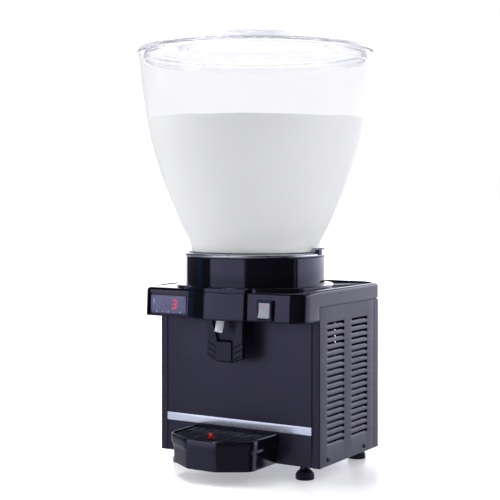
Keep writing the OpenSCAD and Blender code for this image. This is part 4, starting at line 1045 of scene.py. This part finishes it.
def digit_sheets(x, segments):
    """The bars of one digit: each is a six-sided bar between two points, pointed at its ends, leaning a
    little."""
    wide, tall, thick = DIGIT
    w, h, g = wide / 2, tall / 2, 0.25
    spots = {"a": ((-w, h), (w, h)), "b": ((w, h), (w, 0)), "c": ((w, 0), (w, -h)), "d": ((-w, -h), (w, -h)),
             "e": ((-w, 0), (-w, -h)), "f": ((-w, h), (-w, 0)), "g": ((-w, 0), (w, 0))}
    sheets = []
    for key in segments:
        a, b = np.array(spots[key], float)
        run = (b - a) / np.linalg.norm(b - a)
        side = np.array([-run[1], run[0]]) * thick / 2
        a, b = a + run * g, b - run * g
        k = run * thick / 2
        line = np.array([a, a + k - side, b - k - side, b, b - k + side, a + k + side])
        line[:, 0] += line[:, 1] * math.tan(math.radians(DIGIT_LEAN))
        sheets += plate(line + (x, DIGIT_UP))
    return sheets


def mark_sheets():
    """A row of plain marks along the panel's foot, thin bars between them, and a short bar at the upper
    left."""
    circle = arc((0, 0), 0.9, 0, 330, 12)
    diamond = np.array([(0, -1.1), (0.9, 0), (0, 1.1), (-0.9, 0)])
    chevron = np.array([(-1, -0.5), (0, 0.5), (1, -0.5), (1, 0.1), (0, 1.1), (-1, 0.1)])
    bar = np.array([(-0.15, -1.1), (0.15, -1.1), (0.15, 1.1), (-0.15, 1.1)])
    spots = [(-22, circle), (-11, chevron), (0, diamond), (11, -chevron), (22, circle)]
    sheets = []
    for x, line in spots:
        sheets += plate(line * 1.5 + (x, MARK_ROW))
    for x in (-16.5, -5.5, 5.5, 16.5):
        sheets += plate(bar + (x, MARK_ROW))
    sheets += plate(bar * (4, 3.4) + (-27.2, 5.2))
    return sheets


class SwitchOperator(bpy.types.Operator):
    """Makes the rocker switch: its frame, the rocker and the rocker's mark"""

    bl_idname = "dispenser.switch"
    bl_label = "Switch"

    def execute(self, context):
        lo, hi = low("switch_frame"), high("switch_frame")
        wide, tall = hi[0] - lo[0], hi[2] - lo[2]
        middle = np.array([(lo[0] + hi[0]) / 2, EAR_Y, (lo[2] + hi[2]) / 2])
        plan = box_plan(wide, tall, 2.2)
        proud = EAR_Y - lo[1]
        sunk = EAR_Y - hi[1]
        rows = [(1.5, sunk), (1.5, -4), (0, -4), (0, proud - 1.2), (0.35, proud - 0.35), (1.2, proud),
                (2.4, proud), (2.9, proud - 0.4), (3.0, proud - 1), (3.0, sunk + 3)]
        way = facing("front")
        solid("switch_bezel", laid(capped(tower(rows, plan)), way, middle), "matte_black", ["switch_frame"])
        pivot = np.array([middle[0], ROCKER_PIVOT, middle[2]])
        lean = about_x(-ROCKER_LEAN)
        solid("rocker_paddle", laid(rocker_sheets(), lean, pivot), "rocker_grey", ["rocker"], "rocker")
        line = np.array([(-2.2, -0.8), (2.2, -0.8), (2.2, 0.8), (-2.2, 0.8)])
        spot = lean @ np.array([0, rocker_front(MARK_UP), MARK_UP]) + pivot
        mark = laid(plate(line, -0.1, 0.12), about_x(-ROCKER_LEAN - MARK_LEAN) @ way, spot)
        solid("rocker_mark", mark, "float_red", body="rocker")
        return {"FINISHED"}


ROCKER_HALF = (9.45, 11.2)
ROCKER_PIVOT = -112
ROCKER_PROUD = 3
ROCKER_DISH = 1.71
ROCKER_REACH = 12.2
ROCKER_LEAN = 8
MARK_UP = 6.2
MARK_LEAN = 9


def rocker_front(z):
    """Depth of the rocker's face: 3 mm before the pivot in the middle, and out at both ends by a square
    law."""
    return -ROCKER_PROUD - ROCKER_DISH * (z / ROCKER_REACH) ** 2


def rocker_sheets():
    """The rocker is a profile in depth and height carried across its width, with its ends drawn in by
    rounding."""
    w, h = ROCKER_HALF
    z = np.linspace(-h, h, 41)
    face = np.column_stack([rocker_front(z), z])
    behind = np.array([(0, h), (6, 6.1), (6, -6.1), (0, -h)])
    line = np.concatenate([face, behind])
    centre = np.array([-1.0, 0])
    across = np.array([-w, -w + 0.25, -w + 0.8, w - 0.8, w - 0.25, w])
    draw = np.array([0.8, 0.25, 0, 0, 0.25, 0.8])
    shift = (line - centre) / np.linalg.norm(line - centre, axis=1)[:, None]
    rows = [np.column_stack([np.full(len(line), x), line - shift * d]) for x, d in zip(across, draw)]
    return capped(np.stack(rows))


class TrayOperator(bpy.types.Operator):
    """Makes the drip tray and its float with a red button"""

    bl_idname = "dispenser.tray"
    bl_label = "Drip tray"

    def execute(self, context):
        solid("tray_shell", tray_sheets(sizes()), "gloss_black", ["drip_tray"], "tray", "tray_black", 30)
        middle = (low("float_button")[:2] + high("float_button")[:2]) / 2
        z0, z1 = low("float_button")[2], high("float_button")[2]
        brim = high("drip_grille")[2] + 0.4
        disc, shaft, cap = FLOAT_RADII
        rise = z0 + FLOAT_DISC
        stem = softened([(AXIS, z0), (disc, z0), (disc, rise), (shaft, rise), (shaft, brim), (AXIS, brim)],
                        [0, 1, 1.5, 1, 0, 0])
        solid("float_stem", [lattice(spun(stem, 48, middle), True)], "float_red", ["float_button"], "float",
              "grille_black")
        button = softened([(AXIS, brim), (cap, brim), (cap, z1), (AXIS, z1)], [0, 0.5, 1.4, 0])
        solid("float_cap", [lattice(spun(button, 48, middle), True)], "float_red", body="float")
        return {"FINISHED"}


TRAY_SIDE = -128
TRAY_HALF = 26
HOOK_X = 45
HOOK_UP = 26
HOOK = (12, 4, 12)
HOOK_ROOM = 0.3
TRAY_SOLE = 6.5
TRAY_UNDER = 2.6
TRAY_SWELL = (2.9, 21, 9)
TRAY_WALL = 3
TRAY_LIP = 0.6
FLOAT_RADII = (12, 2.6, 3.1)
FLOAT_DISC = 8


def tray_sheets(size):
    """Rows of the tray's plan: under the sole, up an outside that swells smoothly from a drawn-in foot to a
    straight band, over the rim, down to the grille's ledge and down the inside; both floors are filled to the
    middle. Two hooks stand out of the back."""
    x, y = high("drip_tray")[0], SEAM_Y
    z0, z1 = low("drip_tray")[2], high("drip_tray")[2]
    front = low("drip_tray")[1]
    corners = [(-x, y), (-x, TRAY_SIDE), (-TRAY_HALF, front), (TRAY_HALF, front), (x, TRAY_SIDE), (x, y)]
    c, s, e = size["crease"], size["shoulder"], size["tray_round"]

    def plan(inset):
        """The tray's plan, drawn in by an inset."""
        return outline(corners, [1.2, s, c, c, s, 1.2], inset, 9)

    bend = np.radians(np.linspace(0, 90, 6))
    swell = np.linspace(0, 1, 9)
    rows = [(TRAY_SOLE - TRAY_UNDER * math.sin(a), z0 + TRAY_UNDER * (1 - math.cos(a))) for a in bend]
    drawn, down, tall = TRAY_SWELL
    rows += [(drawn - drawn * smooth(share, 0, 1), z1 - down + tall * share) for share in swell]
    rows += [(e * (1 - math.cos(a)), z1 - e * (1 - math.sin(a))) for a in bend]
    rows += [(TRAY_WALL - TRAY_LIP * math.cos(a), z1 - TRAY_LIP + TRAY_LIP * math.sin(a)) for a in bend[::-1]]
    ledge = low("drip_grille")[2] - 0.3
    rows += [(TRAY_WALL, ledge + 0.3), (TRAY_WALL + 0.1, ledge), (6.8, ledge), (7, ledge - 0.2),
             (7, z0 + 4.5), (7.4, z0 + 3.4), (8, z0 + 3)]
    hook = soft_block(*HOOK, 0.8, 0.6)
    up = z0 + HOOK_UP + HOOK[1] / 2
    hooks = [laid(hook, facing("back"), (sign * HOOK_X, y - 2, up)) for sign in (-1, 1)]
    return capped(tower(rows, plan)) + hooks[0] + hooks[1]


class FeetOperator(bpy.types.Operator):
    """Makes the four ribbed feet"""

    bl_idname = "dispenser.feet"
    bl_label = "Feet"

    def execute(self, context):
        for name in ("front_left", "front_right", "rear_left", "rear_right"):
            node = "foot_" + name
            x, y = (low(node)[:2] + high(node)[:2]) / 2
            sheets = foot_sheets(x, y, high(node)[2], sizes()["rib"])
            solid("pad_" + name, sheets, "matte_black", [node], node, "foot_black")
        return {"FINISHED"}


LOBES = 20
FOOT_STEPS = 200
FOOT_R = 14.4
FOOT_BAND = 7.6
BELL_FOOT = 8.6
BELL_RISE = 8.6
BELL_SPREAD = 6.6
NECK_R = 7.2
NECK_TOP = 21.7
BOLT_R = 4


def foot_sheets(x, y, top, rib):
    """A turned profile: a scalloped base whose band is drawn in by the waves of 20 lobes round it, and a bell
    that falls from the neck to the base along a smooth curve."""
    s = np.linspace(0, 1, 13)
    bell = np.column_stack([NECK_R + BELL_SPREAD * (1 - smooth(s, 0, 1)), BELL_FOOT + BELL_RISE * s])
    base = softened([(AXIS, 0), (FOOT_R, 0), (FOOT_R, FOOT_BAND), (FOOT_R - 1, BELL_FOOT)],
                    [0, 1.2, 1.0, 0.4], 5)
    neck = softened([(NECK_R, NECK_TOP), (BOLT_R, NECK_TOP), (BOLT_R, top), (AXIS, top)],
                    [0.5, 0.3, 0.8, 0], 4)
    line = np.concatenate([base[:-1], bell, neck])
    grid = spun(line, FOOT_STEPS, (x, y))
    t = np.linspace(0, TURN, FOOT_STEPS, endpoint=False)[:, None]
    band = smooth(line[:, 0], 12.2, 13.8) * smooth(line[:, 1], -0.5, 1.5)
    wave = (1 - np.abs(np.cos(LOBES / 2 * t))) ** 1.5 * band
    middle = np.array([x, y])
    grid[..., :2] -= (grid[..., :2] - middle) * (rib * wave / np.maximum(line[:, 0], 1))[..., None]
    return [lattice(grid, wrap_u=True)]


class SmallPartsOperator(bpy.types.Operator):
    """Makes the trim strip, the panel screws, the cord gland and the bowl's tab"""

    bl_idname = "dispenser.small_parts"
    bl_label = "Small parts"

    def execute(self, context):
        lo, hi = low("trim_strip"), high("trim_strip")
        middle = np.array([(lo[0] + hi[0]) / 2, hi[1], (lo[2] + hi[2]) / 2])
        strip = soft_block(hi[0] - lo[0], hi[2] - lo[2], hi[1] - lo[1], 0.6, sizes()["strip_round"])
        solid("strip_bar", laid(strip, facing("front"), middle), "trim_metal", ["trim_strip"])
        solid("screws", screw_sheets(), "screw_black", ["panel_screws"], sharp=30)
        x, _, z = (low("cord_gland") + high("cord_gland")) / 2
        gland = spun_solid(softened(GLAND, GLAND_ROUND), 64)
        bush = turned(gland, about_x(90), (x, high("rear_panel")[1], z))
        solid("gland_bush", [bush], "matte_black", ["cord_gland"])
        solid("tab_grip", tab_sheets(), "blue_clear", ["bowl_tab"], "bowl")
        return {"FINISHED"}


GLAND = ((4, -6), (8, -6), (8, -3), (11, -3), (11, 0), (8, 0), (8, 10), (4, 10))
GLAND_ROUND = (0.8, 1.5, 0.8, 1, 0.3, 0.3, 0.8, 0.5)
TAB_THICK = 2.4
TAB_TIP = (2.4, 4.4)


def tab_sheets():
    """A section with a raised tip carried across the tab's width, drawn in at both ends."""
    lo, hi = low("bowl_tab"), high("bowl_tab")
    thin = lo[2] + TAB_THICK
    line = softened([(lo[0], lo[2]), (hi[0], lo[2]), (hi[0], hi[2]), (hi[0] - TAB_TIP[0], hi[2]),
                     (hi[0] - TAB_TIP[1], thin), (lo[0], thin)], [0.3, 0.8, 0.9, 0.9, 1.2, 0.3])
    middle = line.mean(axis=0)
    across = np.array([lo[1], lo[1] + 0.25, lo[1] + 0.9, hi[1] - 0.9, hi[1] - 0.25, hi[1]])
    share = np.array([0.9, 0.97, 1, 1, 0.97, 0.9])
    flat = middle + (line - middle) * share[:, None, None]
    wide = np.broadcast_to(across[:, None], flat.shape[:2])
    return capped(np.stack([flat[..., 0], wide, flat[..., 1]], axis=-1))


class PanelsOperator(bpy.types.Operator):
    """Makes the front panel, the side panels with their pressed slots and the louvres behind the rear
    slots"""

    bl_idname = "dispenser.panels"
    bl_label = "Panels"

    def execute(self, context):
        paint = "cabinet_paint"
        solid("front_sheet", [front_sheet()], paint, ["front_panel"])
        points, quads = side_sheet(sizes())
        for side, sign in (("right", 1), ("left", -1)):
            sheet = (points * (sign, 1, 1), quads)
            solid("side_sheet_" + side, [sheet], paint, ["side_panel_" + side], sharp=50)
        solid("rear_louvres", louvre_sheets(), paint)
        return {"FINISHED"}


EDGE_RUN = np.array([0, 0.4, 0.8, 1.2])
EDGE_DRAW = np.array([0.8, 0.3, 0.07, 0])
SHEET = 1.0
VENT_ROWS = 19
VENT_PITCH = 10
VENT_TALL = 3.6
VENT_LONG = 55
VENT_GAP = 25
VENT_UP = 34.5
WRAP = 15
VENT_ENDS = np.array([-1.5, 0, 1, 2.2, 4, 8, 18])
LIP_BELOW = np.array([-3.6, -2.6, -1.6, -0.8, 0])
LIP_IN = np.array([0, 0.14, 0.42, 0.74, 1])
BULB = 1.2
REAR_VENT_X = 40
SCREW_R = 3.4
SCREW_TALL = 2.0
SCREW_DOME = 0.9
SHANK = (1.9, 7)
SCREW_STEPS = 72
SCREW_BACK = (172, 50)
SCREW_IN = 45


def front_sheet():
    """A flat sheet whose border is drawn in, with two holes for the tray's hooks."""
    lo, hi = low("front_panel"), high("front_panel")
    hook = low("drip_tray")[2] + HOOK_UP
    half = HOOK[0] / 2 + HOOK_ROOM
    holes = np.array([-HOOK_X - half, -HOOK_X + half, HOOK_X - half, HOOK_X + half])
    x = np.concatenate([lo[0] + EDGE_RUN, holes, hi[0] - EDGE_RUN[::-1]])
    ends = [hook - HOOK_ROOM, hook + HOOK[1] + HOOK_ROOM]
    z = np.concatenate([lo[2] + EDGE_RUN, ends, hi[2] - EDGE_RUN[::-1]])
    across = np.concatenate([EDGE_DRAW, 0 * holes, EDGE_DRAW[::-1]])
    up = np.concatenate([EDGE_DRAW, [0, 0], EDGE_DRAW[::-1]])
    xs, zs = np.meshgrid(x, z)
    outer = np.stack([xs, lo[1] + np.maximum(across[None, :], up[:, None]), zs], axis=-1)
    inner = np.stack([xs, np.full_like(xs, hi[1]), zs], axis=-1)
    keep = np.ones((len(z) - 1, len(x) - 1), bool)
    keep[4, [4, 6]] = False
    return pierced(outer, inner, keep)


def side_sheet(size):
    """The right side panel: a flange, a bend and a web over lines of height. Under each slot the sheet is
    pressed in along a smooth lip that fades at the slot's ends, and the slot is taller near its rear end."""
    lo, hi = low("side_panel_right"), high("side_panel_right")
    bend = size["bend"]
    middle = (lo[1] + high("rear_panel")[1] - WRAP) / 2
    starts = middle + np.array([-1, 1]) * (VENT_LONG + VENT_GAP) / 2 - VENT_LONG / 2
    ends = np.concatenate([VENT_ENDS, VENT_LONG - VENT_ENDS[::-1]])
    vents = (starts[:, None] + ends).ravel()
    web = np.concatenate([vents, hi[1] - EDGE_RUN[::-1]])
    drawn = np.concatenate([0 * vents, EDGE_DRAW[::-1]])
    rim = np.append(EDGE_RUN, 6)
    centre = (hi[0] - bend, lo[1] + bend)
    flange = np.column_stack([lo[0] + rim, lo[1] + np.append(EDGE_DRAW, 0)])
    outer = np.concatenate([flange, arc(centre, bend, -90, 0), np.column_stack([hi[0] - drawn, web])])
    inner = np.concatenate([np.column_stack([lo[0] + rim, 0 * rim + lo[1] + SHEET]),
                            arc(centre, bend - SHEET, -90, 0),
                            np.column_stack([0 * web + hi[0] - SHEET, web])])
    rows = lo[2] + VENT_UP + VENT_PITCH * np.arange(VENT_ROWS)[:, None] - VENT_TALL / 2
    z = np.concatenate([[lo[2]], (rows + np.append(LIP_BELOW, VENT_TALL)).ravel(), [hi[2]]])
    press = np.concatenate([[0], np.tile(np.append(LIP_IN, 0), VENT_ROWS), [0]])
    before = len(outer) - len(web)
    along = np.concatenate([np.full(before, -1e3), web])
    inside = (along[:, None] - starts).min(axis=1, where=along[:, None] >= starts - 2, initial=1e3)
    fade = smooth(inside, -1, 3) * smooth(VENT_LONG - inside, -1, 3)
    bulb = smooth(inside, VENT_LONG - 7, VENT_LONG - 3.5) * (inside <= VENT_LONG + 0.1)
    deep = size["lip"] * press[:, None] * fade
    zs = z[:, None] - BULB * press[:, None] * bulb
    sheets = [np.stack([line[:, 0] - deep, line[:, 1] + 0 * deep, zs], axis=-1) for line in (outer, inner)]
    keep = np.ones((len(z) - 1, len(along) - 1), bool)
    slots = len(LIP_BELOW) + (len(LIP_BELOW) + 1) * np.arange(VENT_ROWS)
    inner_cells = (inside[:-1] >= -0.01) & (inside[1:] <= VENT_LONG + 0.01) & (inside[1:] > inside[:-1])
    keep[np.ix_(slots, np.flatnonzero(inner_cells))] = False
    return pierced(*sheets, keep)


def louvre_sheets():
    """Flaps behind the rear panel's slots: a slanting strip from under each slot, inwards and up past its
    top."""
    inside = high("rear_panel")[1] - SHEET
    rows = low("rear_panel")[2] + VENT_UP + VENT_PITCH * np.arange(2, VENT_ROWS - 1)
    strip = np.array([(0, -2.4), (0, -1.8), (-4, 2.8), (-4, 2.2)])
    sheets = []
    for x in (-REAR_VENT_X, REAR_VENT_X):
        for z in rows:
            sheets += capped(carried(strip + (inside, z), (x - VENT_LONG / 2, x + VENT_LONG / 2)))
    return sheets


def screw_sheets():
    """Round heads over a polar grid: a shallow dome less a cross whose depth fades to its ends, on a plain
    shank."""
    r = np.array([AXIS, 0.5, 0.9, 1.3, 1.7, 2.1, 2.4, 2.7, 3.0, 3.2, SCREW_R])
    t = np.linspace(0, TURN, SCREW_STEPS, endpoint=False)[:, None]
    across, along = np.abs(r * np.cos(t)), np.abs(r * np.sin(t))
    arm = np.minimum(across, along)
    cross = (1 - smooth(arm, 0.35, 0.7)) * (1 - smooth(r + 0 * t, 2.2, 2.6))
    dome = SCREW_TALL - SCREW_DOME * (r / SCREW_R) ** 2 - cross
    cap = np.stack([r * np.cos(t), r * np.sin(t), dome], axis=-1)
    thin, deep = SHANK
    brim = SCREW_TALL - SCREW_DOME
    side = np.array([(SCREW_R, brim), (SCREW_R, 0), (thin, 0), (thin, -deep), (AXIS, -deep)])
    skirt = spun(side, SCREW_STEPS)
    sheets = [lattice(cap, wrap_u=True), lattice(skirt, wrap_u=True)]
    x, y = high("rear_panel")[:2]
    under, over = low("rear_panel")[2] + 9, high("deck_plate")[2] - 7
    sites = [(way, sign * x, y - back, under)
             for way, sign in (("right", 1), ("left", -1)) for back in SCREW_BACK]
    sites += [("back", sign * (x - SCREW_IN), y, z) for sign in (-1, 1) for z in (under, over)]
    return [turned(s, facing(way), (x, y, z)) for way, x, y, z in sites for s in sheets]


class DispenserPanel(bpy.types.Panel):
    """Lists the pieces, sizes and colours in the sidebar"""

    bl_idname = "VIEW3D_PT_dispenser"
    bl_label = "Cold Drink Dispenser"
    bl_space_type = "VIEW_3D"
    bl_region_type = "UI"
    bl_category = "Dispenser"

    def draw(self, context):
        for operator in OPERATORS:
            self.layout.operator(operator.bl_idname)
        for group, owner in ((DispenserSizes, "dispenser_sizes"), (DispenserFinishes, "dispenser_finishes")):
            for key in group.__annotations__:
                self.layout.prop(getattr(context.scene, owner), key)


OPERATORS = (StageOperator, FrameFinishOperator, HeadOperator, CollarOperator, BowlOperator, MilkOperator,
             LidOperator, TapOperator, ControllerOperator, SwitchOperator, TrayOperator, FeetOperator,
             SmallPartsOperator, PanelsOperator)
CLASSES = (DispenserSizes, DispenserFinishes, *OPERATORS, DispenserPanel)


def register():
    """Registers the classes and the scene's settings."""
    for kind in CLASSES:
        bpy.utils.register_class(kind)
    bpy.types.Scene.dispenser_sizes = bpy.props.PointerProperty(type=DispenserSizes)
    bpy.types.Scene.dispenser_finishes = bpy.props.PointerProperty(type=DispenserFinishes)


def unregister():
    """Takes back what register made."""
    del bpy.types.Scene.dispenser_finishes
    del bpy.types.Scene.dispenser_sizes
    for kind in reversed(CLASSES):
        bpy.utils.unregister_class(kind)


def main():
    register()
    for operator in OPERATORS:
        group, name = operator.bl_idname.split(".")
        getattr(getattr(bpy.ops, group), name)()
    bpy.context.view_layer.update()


if __name__ == "__main__":
    main()
